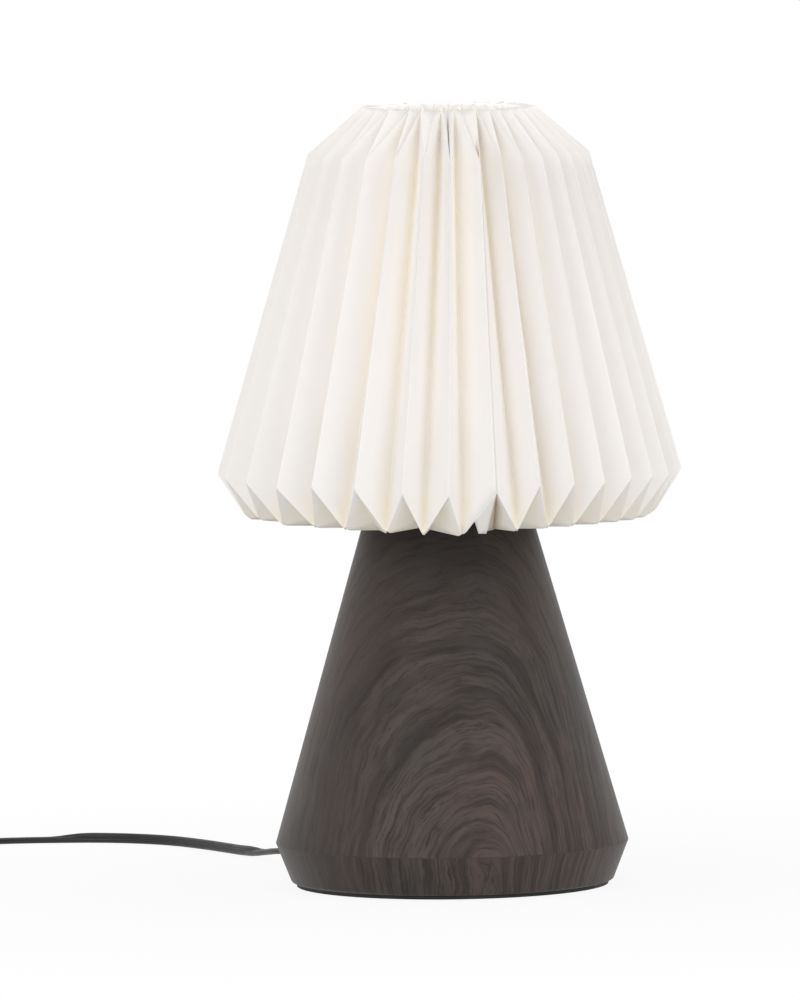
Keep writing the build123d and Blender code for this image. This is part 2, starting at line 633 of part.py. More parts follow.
def half_pleat(ridge, valley):
    """Faces of the sheet between one ridge and one valley, with both sides and the two cut edges."""
    faces = []
    for inner in (False, True):
        foot = pleat_point(RIDGE_FOOT, ridge, inner)
        shoulder = pleat_point(RIDGE_SHOULDER, ridge, inner)
        tip = pleat_point(VALLEY_FOOT, valley, inner)
        top = pleat_point(VALLEY_TOP, valley, inner)
        hem = pleat_point(HEM_FOLD, ridge, inner)
        rim = pleat_point(RIM_FOLD, ridge, inner)
        faces.append(Face.make_surface_from_curves(Edge.make_line(shoulder, foot), Edge.make_line(top, tip)))
        faces.append(Face(Wire.make_polygon([foot, tip, hem], close=True)))
        faces.append(Face(Wire.make_polygon([shoulder, top, rim], close=True)))
    for crease, fold in ((VALLEY_FOOT, HEM_FOLD), (VALLEY_TOP, RIM_FOLD)):
        strip = [
            pleat_point(crease, valley, False),
            pleat_point(fold, ridge, False),
            pleat_point(fold, ridge, True),
            pleat_point(crease, valley, True),
        ]
        faces.append(Face(Wire.make_polygon(strip, close=True)))
    return faces


sheet_faces = []
for pleat in range(PLEATS):
    ridge_turn = radians(PLEAT_START) + 2 * pi * pleat / PLEATS
    sheet_faces.extend(half_pleat(ridge_turn, ridge_turn - pi / PLEATS))
    sheet_faces.extend(half_pleat(ridge_turn, ridge_turn + pi / PLEATS))
with BuildPart() as pleated_shade:
    add(Solid(Shell(sheet_faces)))
pleated_shade.part.label = "pleated_shade"
export_step(pleated_shade.part, "parts/pleated_shade.step")

# Bulb
globe_centre = BULB_FOOT + BULB_LENGTH - BULB_GLOBE_RADIUS
cap_foot = BULB_FOOT + BULB_TIP_HEIGHT + BULB_INSULATOR_HEIGHT
cap_top = cap_foot + BULB_CAP_HEIGHT
neck_foot = cap_top - BULB_CAP_HEIGHT / 4
globe_leave = globe_centre - sqrt(BULB_GLOBE_RADIUS**2 - BULB_SHOULDER**2)
inner_globe = BULB_GLOBE_RADIUS - BULB_GLASS
inner_leave = globe_centre - sqrt(inner_globe**2 - (BULB_SHOULDER - BULB_GLASS) ** 2)
with BuildPart() as bulb_globe:
    with BuildSketch(Plane.XZ) as globe_profile:
        with BuildLine() as globe_outline:
            outer_arc = ThreePointArc(
                (BULB_SHOULDER, globe_leave),
                (BULB_GLOBE_RADIUS, globe_centre),
                (0, globe_centre + BULB_GLOBE_RADIUS),
            )
            Line((0, globe_centre + BULB_GLOBE_RADIUS), (0, globe_centre + inner_globe))
            inner_arc = ThreePointArc(
                (0, globe_centre + inner_globe),
                (inner_globe, globe_centre),
                (BULB_SHOULDER - BULB_GLASS, inner_leave),
            )
            Polyline(
                (BULB_SHOULDER - BULB_GLASS, inner_leave),
                (BULB_NECK_RADIUS - BULB_GLASS, cap_top),
                (BULB_NECK_RADIUS - BULB_GLASS, neck_foot),
                (BULB_NECK_RADIUS, neck_foot),
                (BULB_NECK_RADIUS, cap_top),
                (BULB_SHOULDER, globe_leave),
            )
        make_face()
    revolve(axis=Axis.Z)
bulb_globe.part.label = "bulb_globe"
export_step(bulb_globe.part, "parts/bulb_globe.step")

groove_step = BULB_CAP_HEIGHT / (2 * BULB_CAP_GROOVES + 2)
cap_outer = [(BULB_CAP_RADIUS, cap_foot)]
for groove in range(BULB_CAP_GROOVES):
    crest = cap_foot + groove_step * (2 * groove + 1)
    cap_outer.append((BULB_CAP_RADIUS, crest))
    cap_outer.append((BULB_CAP_RADIUS - BULB_CAP_GROOVE_DEPTH, crest + groove_step))
cap_outer.append((BULB_CAP_RADIUS, cap_foot + groove_step * (2 * BULB_CAP_GROOVES + 1)))
cap_outer.append((BULB_CAP_RADIUS, cap_top))
cap_bore = BULB_CAP_RADIUS - BULB_CAP_GROOVE_DEPTH - BULB_CAP_WALL
with BuildPart() as bulb_cap:
    with BuildSketch(Plane.XZ) as bulb_cap_profile:
        with BuildLine() as bulb_cap_outline:
            Polyline(*cap_outer, (cap_bore, cap_top), (cap_bore, cap_foot), close=True)
        make_face()
    revolve(axis=Axis.Z)
bulb_cap.part.label = "bulb_cap"
export_step(bulb_cap.part, "parts/bulb_cap.step")

with BuildPart() as bulb_insulator:
    with BuildSketch(Plane.XZ) as insulator_profile:
        with BuildLine() as insulator_outline:
            Polyline(
                (0, BULB_FOOT + BULB_TIP_HEIGHT),
                (BULB_TIP_RADIUS, BULB_FOOT + BULB_TIP_HEIGHT),
                (BULB_CAP_RADIUS - BULB_CAP_GROOVE_DEPTH, cap_foot),
                (0, cap_foot),
                close=True,
            )
        make_face()
    revolve(axis=Axis.Z)
bulb_insulator.part.label = "bulb_insulator"
export_step(bulb_insulator.part, "parts/bulb_insulator.step")

with BuildPart() as bulb_tip:
    with BuildSketch(Plane.XY.offset(BULB_FOOT)):
        Circle(BULB_TIP_RADIUS)
    extrude(amount=BULB_TIP_HEIGHT)
    fillet(bulb_tip.edges().group_by(Axis.Z)[0], BULB_TIP_HEIGHT / 2)
bulb_tip.part.label = "bulb_tip"
export_step(bulb_tip.part, "parts/bulb_tip.step")

# Lead from the base to the switch, standing on its edge on the floor
lead_second = inner_start + EXIT_DIRECTION * LEAD_FIRST_RUN
lead_points = [
    (inner_start.X, inner_start.Y, LEAD_HEIGHT),
    (lead_second.X, lead_second.Y, LEAD_HEIGHT),
    *((x, y, LEAD_FLOOR) for x, y in LEAD_ROUTE),
    (SWITCH_X, LEAD_TURN_Y, LEAD_FLOOR + LEAD_TURN_RISE),
    (SWITCH_X, SWITCH_REAR - SWITCH_LEAD_DEPTH + LEAD_LAST_RUN, SWITCH_LEAD_HEIGHT),
    (SWITCH_X, SWITCH_REAR - SWITCH_LEAD_DEPTH, SWITCH_LEAD_HEIGHT),
]
with BuildLine() as lead_route:
    FilletPolyline(*lead_points, radius=bend_radii(lead_points))
lead_wire = Wire(lead_route.line.edges())
with BuildSketch(upright_plane(lead_wire)) as lead_section:
    SlotOverall(LEAD_WIDTH, LEAD_THICKNESS, rotation=90)
with BuildPart() as cord_lead:
    sweep(lead_section.sketch, path=lead_wire, binormal=raised(lead_wire))
cord_lead.part.label = "cord_lead"
export_step(cord_lead.part, "parts/cord_lead.step")
tell_tube("cord_lead", cord_lead.part, lead_section.sketch.area, lead_wire)
print("cord_lead bends, mm:", [round(radius, 1) for radius in bend_radii(lead_points)])

# Inline switch: two half shells round the lead, a rocker on a pin
switch_plane = Plane((SWITCH_X, SWITCH_Y, SWITCH_BOTTOM), x_dir=(0, 1, 0), z_dir=(0, 0, 1))
switch_split_plane = switch_plane.offset(SWITCH_BASE_HEIGHT)
switch_screw_places = [(-SWITCH_SCREW_OFFSET, SWITCH_SCREW_SIDE), (SWITCH_SCREW_OFFSET, -SWITCH_SCREW_SIDE)]
switch_hole_plane = Plane((SWITCH_X, SWITCH_FRONT - CUT_OVERRUN, SWITCH_LEAD_HEIGHT), z_dir=(0, 1, 0))
pivot_height = SWITCH_TOP - ROCKER_PIVOT_DEPTH
pivot_length = ROCKER_WIDTH + 2 * ROCKER_GAP + 2 * PIVOT_POST
with BuildPart() as switch_base:
    with BuildSketch(switch_plane):
        SlotOverall(SWITCH_LENGTH, SWITCH_WIDTH)
    extrude(amount=SWITCH_BASE_HEIGHT)
    fillet(switch_base.edges().group_by(Axis.Z)[0], SWITCH_EDGE_ROUND)
    with BuildSketch(switch_plane.offset(SWITCH_WALL)):
        SlotOverall(SWITCH_LENGTH - 2 * SWITCH_WALL, SWITCH_WIDTH - 2 * SWITCH_WALL)
    extrude(amount=SWITCH_BASE_HEIGHT, mode=Mode.SUBTRACT)
    with BuildSketch(switch_plane.offset(SWITCH_WALL)):
        with Locations(*switch_screw_places):
            Circle(SWITCH_BOSS_DIAMETER / 2)
    extrude(amount=SWITCH_BASE_HEIGHT - SWITCH_WALL)
    with BuildSketch(switch_plane):
        with Locations(*switch_screw_places):
            Circle(SWITCH_SCREW_DIAMETER / 2 + THREAD_CLEARANCE)
    extrude(amount=SWITCH_BASE_HEIGHT, mode=Mode.SUBTRACT)
    with BuildSketch(switch_plane):
        with Locations(*switch_screw_places):
            Circle(SWITCH_HEAD_DIAMETER / 2 + THREAD_CLEARANCE)
    extrude(amount=SWITCH_HEAD_HEIGHT, mode=Mode.SUBTRACT)
    with BuildSketch(switch_hole_plane):
        Circle(SWITCH_HOLE / 2)
    extrude(amount=SWITCH_LENGTH + 2 * CUT_OVERRUN, mode=Mode.SUBTRACT)
switch_base.part.label = "switch_base"
export_step(switch_base.part, "parts/switch_base.step")

with BuildPart() as switch_cover:
    with BuildSketch(switch_split_plane):
        SlotOverall(SWITCH_LENGTH, SWITCH_WIDTH)
    extrude(amount=SWITCH_COVER_HEIGHT)
    fillet(switch_cover.edges().group_by(Axis.Z)[-1], SWITCH_EDGE_ROUND)
    with BuildSketch(switch_split_plane):
        SlotOverall(SWITCH_LENGTH - 2 * SWITCH_WALL, SWITCH_WIDTH - 2 * SWITCH_WALL)
    extrude(amount=SWITCH_COVER_HEIGHT - SWITCH_WALL, mode=Mode.SUBTRACT)
    with BuildSketch(switch_split_plane.offset(SWITCH_COVER_HEIGHT - SWITCH_WALL)):
        Rectangle(ROCKER_LENGTH + 2 * ROCKER_GAP, ROCKER_WIDTH + 2 * ROCKER_GAP)
    extrude(amount=SWITCH_WALL, mode=Mode.SUBTRACT)
    with BuildSketch(switch_split_plane):
        with Locations(*switch_screw_places):
            Circle(SWITCH_BOSS_DIAMETER / 2)
            Circle(SWITCH_SCREW_DIAMETER / 2 + THREAD_CLEARANCE, mode=Mode.SUBTRACT)
    extrude(amount=SWITCH_COVER_HEIGHT - SWITCH_WALL)
    post_width = ROCKER_WIDTH / 2 + ROCKER_GAP + PIVOT_POST / 2
    with BuildSketch(switch_plane.offset(pivot_height - SWITCH_BOTTOM - PIVOT_DIAMETER)):
        with Locations((0, -post_width), (0, post_width)):
            Rectangle(3 * PIVOT_DIAMETER, PIVOT_POST)
    extrude(amount=SWITCH_TOP - SWITCH_WALL - pivot_height + PIVOT_DIAMETER)
    with BuildSketch(Plane((SWITCH_X - pivot_length / 2, SWITCH_Y, pivot_height), z_dir=(1, 0, 0))):
        Circle(PIVOT_DIAMETER / 2)
    extrude(amount=pivot_length, mode=Mode.SUBTRACT)
    with BuildSketch(switch_hole_plane):
        Circle(SWITCH_HOLE / 2)
    extrude(amount=SWITCH_LENGTH + 2 * CUT_OVERRUN, mode=Mode.SUBTRACT)
switch_cover.part.label = "switch_cover"
export_step(switch_cover.part, "parts/switch_cover.step")

rocker_plane = Plane((SWITCH_X - ROCKER_WIDTH / 2, SWITCH_Y, pivot_height), x_dir=(0, 1, 0), z_dir=(1, 0, 0))
rocker_top = ROCKER_PIVOT_DEPTH + ROCKER_RISE
with BuildPart() as switch_rocker:
    with BuildSketch(rocker_plane) as rocker_profile:
        with BuildLine() as rocker_outline:
            ThreePointArc(
                (-ROCKER_LENGTH / 2 + ROCKER_END_SLOPE, rocker_top - ROCKER_END_DROP),
                (0, rocker_top - ROCKER_DISH),
                (ROCKER_LENGTH / 2 - ROCKER_END_SLOPE, rocker_top - ROCKER_END_DROP),
            )
            Polyline(
                (ROCKER_LENGTH / 2 - ROCKER_END_SLOPE, rocker_top - ROCKER_END_DROP),
                (ROCKER_LENGTH / 2 - ROCKER_SIDE_SLOPE, ROCKER_PIVOT_DEPTH - SWITCH_WALL),
                (ROCKER_SKIRT, -ROCKER_SKIRT),
                (-ROCKER_SKIRT, -ROCKER_SKIRT),
                (-ROCKER_LENGTH / 2 + ROCKER_SIDE_SLOPE, ROCKER_PIVOT_DEPTH - SWITCH_WALL),
                (-ROCKER_LENGTH / 2 + ROCKER_END_SLOPE, rocker_top - ROCKER_END_DROP),
            )
        make_face()
        Circle(PIVOT_DIAMETER / 2 + PIVOT_CLEARANCE, mode=Mode.SUBTRACT)
    extrude(amount=ROCKER_WIDTH)
rocker_axis = Axis((SWITCH_X, SWITCH_Y, pivot_height), (1, 0, 0))
with BuildPart() as switch_rocker_tilted:
    add(switch_rocker.part.rotate(rocker_axis, ROCKER_TILT))
switch_rocker_tilted.part.label = "switch_rocker"
export_step(switch_rocker_tilted.part, "parts/switch_rocker.step")

with BuildPart() as switch_pivot:
    with BuildSketch(Plane((SWITCH_X - pivot_length / 2, SWITCH_Y, pivot_height), z_dir=(1, 0, 0))):
        Circle(PIVOT_DIAMETER / 2)
    extrude(amount=pivot_length)
switch_pivot.part.label = "switch_pivot"
export_step(switch_pivot.part, "parts/switch_pivot.step")

with BuildPart() as switch_screws:
    with BuildSketch(switch_plane):
        with Locations(*switch_screw_places):
            Circle(SWITCH_HEAD_DIAMETER / 2)
    extrude(amount=SWITCH_HEAD_HEIGHT)
    with BuildSketch(switch_plane.offset(SWITCH_HEAD_HEIGHT)):
        with Locations(*switch_screw_places):
            Circle(SWITCH_SCREW_DIAMETER / 2)
    extrude(amount=SWITCH_BASE_HEIGHT + SWITCH_COVER_HEIGHT - 2 * SWITCH_WALL)
switch_screws.part.label = "switch_screws"
export_step(switch_screws.part, "parts/switch_screws.step")

terminal_block_place = Vector(TERMINAL_BLOCK_OFFSET, TERMINAL_BLOCK_SIDE)
with BuildPart() as switch_terminals:
    with BuildSketch(switch_plane.offset(SWITCH_WALL)):
        with Locations(-terminal_block_place, terminal_block_place):
            Rectangle(TERMINAL_BLOCK_LENGTH, TERMINAL_BLOCK_WIDTH)
    extrude(amount=TERMINAL_BLOCK_HEIGHT)
switch_terminals.part.label = "switch_terminals"
export_step(switch_terminals.part, "parts/switch_terminals.step")

# Coil: the lead winds in on the lower layer, climbs where the spiral turns back, and winds out above
coil_sweep = 2 * pi * COIL_TURNS
coil_back = coil_sweep / 2


def coil_point(angle):
    """Middle line of the coil after an angle of winding, clockwise from its east side."""
    wound = angle if angle < coil_back else coil_sweep - angle
    radius = COIL_OUTER_RADIUS - COIL_PITCH * wound / (2 * pi)
    climb = min(max((angle - coil_back + pi / 2) / pi, 0), 1)
    height = COIL_FLOOR + COIL_LAYER * climb
    return Vector(COIL_X + radius * cos(angle), COIL_Y - radius * sin(angle), height)


def coil_heading(angle):
    """Direction of the winding in the floor plane after an angle."""
    return Vector(-sin(angle), -cos(angle), 0)


coil_entry = coil_point(0) - coil_heading(0) * LEAD_WIDTH
coil_exit = coil_point(coil_sweep) + coil_heading(coil_sweep) * LEAD_WIDTH
coil_stops = [0.0]
coil_stops.extend(pi * (half + 0.5) for half in range(2 * COIL_TURNS))
coil_stops.append(coil_sweep)
coil_edges = [Edge.make_line(coil_entry, coil_point(0))]
for start, stop in zip(coil_stops, coil_stops[1:]):
    first = coil_point(start)
    last = coil_point(stop)
    leave = coil_heading(start)
    arrive = coil_heading(stop)
    span = last - first
    lean = 2 * (1 - leave.dot(arrive))
    drift = span.dot(leave + arrive)
    reach = (sqrt(drift**2 + lean * span.dot(span)) - drift) / lean
    middle = (first + last) * 0.5 + (leave - arrive) * (reach / 2)
    coil_edges.append(Edge.make_tangent_arc(first, leave, middle))
    coil_edges.append(Edge.make_tangent_arc(middle, span - (leave + arrive) * reach, last))
coil_edges.append(Edge.make_line(coil_point(coil_sweep), coil_exit))
coil_wire = Wire(coil_edges)
with BuildSketch(upright_plane(coil_wire)) as coil_section:
    SlotOverall(LEAD_WIDTH, LEAD_THICKNESS, rotation=90)
with BuildPart() as cord_coil:
    sweep(coil_section.sketch, path=coil_wire, binormal=raised(coil_wire))
cord_coil.part.label = "cord_coil"
export_step(cord_coil.part, "parts/cord_coil.step")
tell_tube("cord_coil", cord_coil.part, coil_section.sketch.area, coil_wire)

# Least gap of the coil to itself, between points of its middle line taken a short step apart
coil_count = int(coil_wire.length / COIL_GAP_STEP)
coil_places = [coil_wire @ (index / coil_count) for index in range(coil_count + 1)]
apart = int(2 * COIL_OUTER_RADIUS / COIL_GAP_STEP)
half_flat = (LEAD_WIDTH - LEAD_THICKNESS) / 2
coil_gap = COIL_OUTER_RADIUS
for index, place in enumerate(coil_places):
    for other in coil_places[index + apart :]:
        over = max(abs(place.Z - other.Z) - 2 * half_flat, 0)
        across = Vector(place.X - other.X, place.Y - other.Y, over).length
        coil_gap = min(coil_gap, across - LEAD_THICKNESS)
print(f"cord_coil least gap to itself: {coil_gap:.2f} mm")

# Short runs from the switch to the coil and from the coil to the plug
run_points = [
    (SWITCH_X, SWITCH_FRONT + SWITCH_LEAD_DEPTH, SWITCH_LEAD_HEIGHT),
    (SWITCH_X, SWITCH_FRONT + SWITCH_LEAD_DEPTH - LEAD_LAST_RUN, SWITCH_LEAD_HEIGHT),
    (SWITCH_X, SWITCH_FRONT - RUN_DROP, COIL_FLOOR),
    (coil_entry.X, coil_entry.Y, coil_entry.Z),
]
with BuildLine() as run_route:
    FilletPolyline(*run_points, radius=bend_radii(run_points))
run_wire = Wire(run_route.line.edges())
with BuildSketch(upright_plane(run_wire)) as run_section:
    SlotOverall(LEAD_WIDTH, LEAD_THICKNESS, rotation=90)
with BuildPart() as cord_run:
    sweep(run_section.sketch, path=run_wire, binormal=raised(run_wire))
cord_run.part.label = "cord_run"
export_step(cord_run.part, "parts/cord_run.step")
tell_tube("cord_run", cord_run.part, run_section.sketch.area, run_wire)

tail_points = [
    (coil_exit.X, coil_exit.Y, coil_exit.Z),
    (SWITCH_X, coil_exit.Y - LEAD_LAST_RUN, coil_exit.Z),
    (SWITCH_X, PLUG_TAIL_END + LEAD_LAST_RUN, PLUG_AXIS),
    (SWITCH_X, PLUG_TAIL_END, PLUG_AXIS),
]
with BuildLine() as tail_route:
    FilletPolyline(*tail_points, radius=bend_radii(tail_points))
tail_wire = Wire(tail_route.line.edges())
with BuildSketch(upright_plane(tail_wire)) as tail_section:
    SlotOverall(LEAD_WIDTH, LEAD_THICKNESS, rotation=90)
with BuildPart() as cord_tail:
    sweep(tail_section.sketch, path=tail_wire, binormal=raised(tail_wire))
cord_tail.part.label = "cord_tail"
export_step(cord_tail.part, "parts/cord_tail.step")
tell_tube("cord_tail", cord_tail.part, tail_section.sketch.area, tail_wire)

# Tie round the bundle on the coil's west side
bundle_outer = COIL_OUTER_RADIUS + LEAD_THICKNESS / 2
bundle_inner = COIL_OUTER_RADIUS - COIL_PITCH * COIL_TURNS / 2 - LEAD_THICKNESS / 2
bundle_middle = (bundle_outer + bundle_inner) / 2
bundle_height = COIL_LAYER + LEAD_WIDTH
tie_place = Vector(COIL_X - bundle_middle, COIL_Y - TIE_WIDTH / 2, COIL_FLOOR + COIL_LAYER / 2)
tie_plane = Plane(tie_place, x_dir=(1, 0, 0), z_dir=(0, 1, 0))
with BuildPart() as coil_tie:
    with BuildSketch(tie_plane):
        RectangleRounded(
            bundle_outer - bundle_inner + 2 * (TIE_GAP + TIE_THICKNESS),
            bundle_height + 2 * (TIE_GAP + TIE_THICKNESS),
            TIE_ROUND + TIE_THICKNESS,
        )
        RectangleRounded(
            bundle_outer - bundle_inner + 2 * TIE_GAP,
            bundle_height + 2 * TIE_GAP,
            TIE_ROUND,
            mode=Mode.SUBTRACT,
        )
    extrude(amount=TIE_WIDTH)
coil_tie.part.label = "coil_tie"
export_step(coil_tie.part, "parts/coil_tie.step")

# Plug: tapered relief, body, two pins part-sleeved
plug_plane = Plane((SWITCH_X, PLUG_REAR, PLUG_AXIS), x_dir=(1, 0, 0), z_dir=(0, -1, 0))
pin_places = [(-PIN_SPACING / 2, 0), (PIN_SPACING / 2, 0)]
relief_taper = (RELIEF_BIG - RELIEF_SMALL) / 2 / RELIEF_LENGTH
with BuildPart() as plug_relief:
    with BuildSketch(plug_plane):
        Circle(RELIEF_BIG / 2)
    with BuildSketch(plug_plane.offset(-RELIEF_LENGTH)):
        Circle(RELIEF_SMALL / 2)
    loft()
    for groove in range(RELIEF_GROOVES):
        back = RELIEF_LENGTH * (groove + RELIEF_GROOVE_FIRST) / (RELIEF_GROOVES + RELIEF_GROOVE_SPARE)
        radius = RELIEF_BIG / 2 - relief_taper * back
        with BuildSketch(plug_plane.offset(-back)):
            Circle(radius + CUT_OVERRUN)
            Circle(radius - RELIEF_GROOVE_DEPTH, mode=Mode.SUBTRACT)
        extrude(amount=RELIEF_GROOVE_WIDTH, mode=Mode.SUBTRACT)
plug_relief.part.label = "plug_relief"
export_step(plug_relief.part, "parts/plug_relief.step")

with BuildPart() as plug_body:
    with BuildSketch(plug_plane):
        RectangleRounded(PLUG_REAR_WIDTH, PLUG_REAR_HEIGHT, PLUG_REAR_ROUND)
    with BuildSketch(plug_plane.offset(PLUG_BODY_LENGTH * PLUG_TAPER_SHARE)):
        RectangleRounded(PLUG_FACE_WIDTH, PLUG_FACE_HEIGHT, PLUG_FACE_ROUND)
    loft()
    with BuildSketch(plug_plane.offset(PLUG_BODY_LENGTH * PLUG_TAPER_SHARE)):
        RectangleRounded(PLUG_FACE_WIDTH, PLUG_FACE_HEIGHT, PLUG_FACE_ROUND)
    extrude(amount=PLUG_BODY_LENGTH * (1 - PLUG_TAPER_SHARE))
plug_body.part.label = "plug_body"
export_step(plug_body.part, "parts/plug_body.step")

with BuildPart() as plug_pins:
    with BuildSketch(plug_plane.offset(PLUG_BODY_LENGTH)):
        with Locations(*pin_places):
            Circle(PIN_CORE_DIAMETER / 2)
    extrude(amount=PIN_SLEEVE_LENGTH)
    with BuildSketch(plug_plane.offset(PLUG_BODY_LENGTH + PIN_SLEEVE_LENGTH)):
        with Locations(*pin_places):
            Circle(PIN_DIAMETER / 2)
    extrude(amount=PIN_LENGTH - PIN_SLEEVE_LENGTH)
    fillet(plug_pins.edges().group_by(Axis.Y)[0], PIN_NOSE_ROUND)
plug_pins.part.label = "plug_pins"
export_step(plug_pins.part, "parts/plug_pins.step")

with BuildPart() as plug_sleeves:
    with BuildSketch(plug_plane.offset(PLUG_BODY_LENGTH)):
        with Locations(*pin_places):
            Circle(PIN_SLEEVE_DIAMETER / 2)
            Circle(PIN_CORE_DIAMETER / 2, mode=Mode.SUBTRACT)
    extrude(amount=PIN_SLEEVE_LENGTH)
plug_sleeves.part.label = "plug_sleeves"
export_step(plug_sleeves.part, "parts/plug_sleeves.step")
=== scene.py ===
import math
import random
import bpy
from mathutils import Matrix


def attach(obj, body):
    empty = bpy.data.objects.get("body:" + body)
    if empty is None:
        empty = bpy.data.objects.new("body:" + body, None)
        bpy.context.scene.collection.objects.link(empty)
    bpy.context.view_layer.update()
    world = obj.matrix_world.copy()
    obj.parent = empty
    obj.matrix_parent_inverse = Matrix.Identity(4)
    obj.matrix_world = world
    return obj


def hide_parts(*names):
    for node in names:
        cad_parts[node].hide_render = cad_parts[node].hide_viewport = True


bl_info = {
    "name": "Pleated table lamp",
    "version": (1, 0, 0),
    "blender": (4, 5, 0),
    "location": "View3D > Sidebar > Lamp",
    "description": "Dresses a table lamp: folded paper shade, turned base, flat lead, switch, plug, bulb",
    "category": "Object",
}

import bpy
from bpy.props import FloatProperty, FloatVectorProperty, IntProperty, PointerProperty
from mathutils import Quaternion, Vector, noise

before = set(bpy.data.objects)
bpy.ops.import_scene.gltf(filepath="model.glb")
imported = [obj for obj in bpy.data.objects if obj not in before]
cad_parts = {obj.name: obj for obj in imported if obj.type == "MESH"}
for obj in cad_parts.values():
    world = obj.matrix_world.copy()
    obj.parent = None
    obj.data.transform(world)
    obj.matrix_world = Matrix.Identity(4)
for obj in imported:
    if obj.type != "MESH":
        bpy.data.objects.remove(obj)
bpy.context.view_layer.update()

# Sheet of the shade, each crease end as radius and height in metres
RIDGE_FOOT = (0.1195, 0.215)
RIDGE_SHOULDER = (0.0727, 0.379)
VALLEY_TOP = (0.0445, 0.402)
VALLEY_FOOT = (0.105, 0.192)
HEM_FOLD = (0.089, 0.192)
RIM_FOLD = (0.033, 0.402)
SEAT_HEIGHT = 0.2
SEAM_RIDGE = 1
SLIT_RIDGE = 0
ACROSS = (0.0, 0.02, 0.05, 0.11, 0.22, 0.38, 0.56, 0.74, 0.87, 0.94, 0.975, 1.0)
SHEET_ROWS = 22
FOLD_ROWS = 4
SHEET_SHARP = math.radians(50)

# Unevenness of the sheet: waves in metres, sag in millimetres, rounding as a share of a face's width
WAVE_HEIGHT = 0.00035
SHOULDER_SAG = 1.6
CREASE_SHARE = 0.05
BLUNT_SHARE = 0.14

# Seam and slit, in metres: how far the cut edge lies in and aside, and how far it and the slit gape
SEAM_SUNK = 0.0008
SEAM_ASIDE = 0.0001
SEAM_GAP = 0.0009
SLIT_WIDTH = 0.0009
# Shape of the gape down the seam, and how much of a face it takes up
GAP_RISE = 0.35
GAP_SHARE = 0.2
# How much of a face the glue stain and painted shade take up at the top, how much less lower down, and
# their share of the hem
GLUE_SHADE_TOP = 0.28
GLUE_SHADE_TAPER = 0.2
GLUE_SHADE_HEM = 0.33

# Loose flap at the foot of the seam and the glued lap behind it: shares of the way to the tip, and metres
FLAP_NEAR = 0.25
FLAP_FAR = 0.494
FLAP_TOP = 0.64
FLAP_OUT = 0.001
LAP_FAR = 0.34
LAP_TOP = 0.1
LAP_BEHIND = 0.002
FLAP_COLUMNS = 6
FLAP_ROWS = 8

# How deep in the folds the turned edges count, from 0 on a ridge to 1 in a valley, which sets how much
# painted fold shade and painted glow they get
HEM_DEPTH = 0.78
RIM_DEPTH = 0.35
FLAP_DEPTH = 0.3
FOLD_DEEPER = 0.22

# Bands of height, in metres, over which the paper's painted shade in the folds and its painted glow change
HEM_BAND = (0.205, 0.215)
FOOT_BAND = (0.215, 0.27)
MIDDLE_BAND = (0.25, 0.35)
SHOULDER_BAND = (0.374, 0.39)
RIM_BAND = (0.388, 0.397)

# Growth rings: softness of the step at the rim and how far the rings wander, in metres, how close they
# lie, and how much closer on the right
RIM_EASE = 0.0006
SLOW_WANDER = 0.009
QUICK_WANDER = 0.0017
RING_SQUEEZE = 1.06
RING_UNEVEN = 0.34

# How far single creases near the front lie from their even places, first index -6: turned, in degrees,
# and hanging low, in millimetres
RIDGE_NUDGE = (0.6, 1.3, 1.3, 0.2, 0.1, 0.4, 0.3, 0.8, 1.4, 0.7, 0.2, 0.3, 0.3, 0.7)
TIP_NUDGE = (0.5, 0.6, 1.5, -0.5, 0.1, -1.2, -1.75, 3.2, 2.1, 0.5, 0.4, 0.3, 0.6, 1.5)
RIDGE_DROP = (1.0, 1.4, 2.8, 1.5, 2.2, 4.2, 5.2, 3.3, 0.8, 1.0, 1.0, 0.1, 0.3, 1.2)
TIP_DROP = (-0.3, 0.8, 0.7, 1.3, 2.5, 3.6, 4.2, 2.3, 1.4, 1.2, 1.1, 1.1, 1.3, 1.3)
SHOULDER_NUDGE = (0.0, 0.0, 0.0, 0.85, 1.65, 1.95, 0.8, 1.55, 0.0, -0.4, 0.0, 0.0, 0.0, 0.0)
TOP_NUDGE = (0.0, 0.0, 0.0, 3.0, -0.6, 1.3, -1.3, 2.6, 1.9, 0.0, 0.0, 0.0, 0.0, 0.0)
HEM_NUDGE = (0.0, 0.0, 0.0, 0.0, 0.0, 1.4, -6.3, 3.1, 0.0, 0.0, 0.0, 0.0, 0.0, 0.0)
HEM_DROP = (0.4, 0.4, 0.4, 0.4, 0.2, -2.4, -2.4, -1.6, 0.2, 0.4, 0.4, 0.4, 0.4, 0.4)
NUDGE_FIRST = -6

# Route of the lead on the floor, in metres
LEAD_FLOOR = 0.00272
COIL_FLOOR = 0.00402
LEAD_ROUTE = (
    (-0.06639, 0.08199, 0.0082),
    (-0.08276, 0.10219, 0.0082),
    (-0.104, 0.148, LEAD_FLOOR),
    (-0.127, 0.189, LEAD_FLOOR),
    (-0.152, 0.222, LEAD_FLOOR),
    (-0.187, 0.238, LEAD_FLOOR),
    (-0.232, 0.239, LEAD_FLOOR),
    (-0.264, 0.219, LEAD_FLOOR + 0.0006),
    (-0.264, 0.190, 0.0075),
    (-0.264, 0.176, 0.0075),
)
RUN_ROUTE = (
    (-0.264, 0.132, 0.0075),
    (-0.264, 0.118, 0.0075),
    (-0.264, 0.090, COIL_FLOOR),
    (-0.264, 0.0674, COIL_FLOOR),
)
TAIL_ROUTE = (
    (-0.264, 0.0566, 0.01012),
    (-0.264, 0.0426, 0.01012),
    (-0.264, 0.0266, 0.00705),
    (-0.264, 0.0126, 0.00705),
)
COIL_CENTRE = (-0.300, 0.062)
COIL_RADIUS = 0.036
COIL_PITCH = 0.0051
COIL_TURNS = 7
COIL_LAYER = 0.0061
COIL_STEPS = 16
LEAD_SIDES = 28
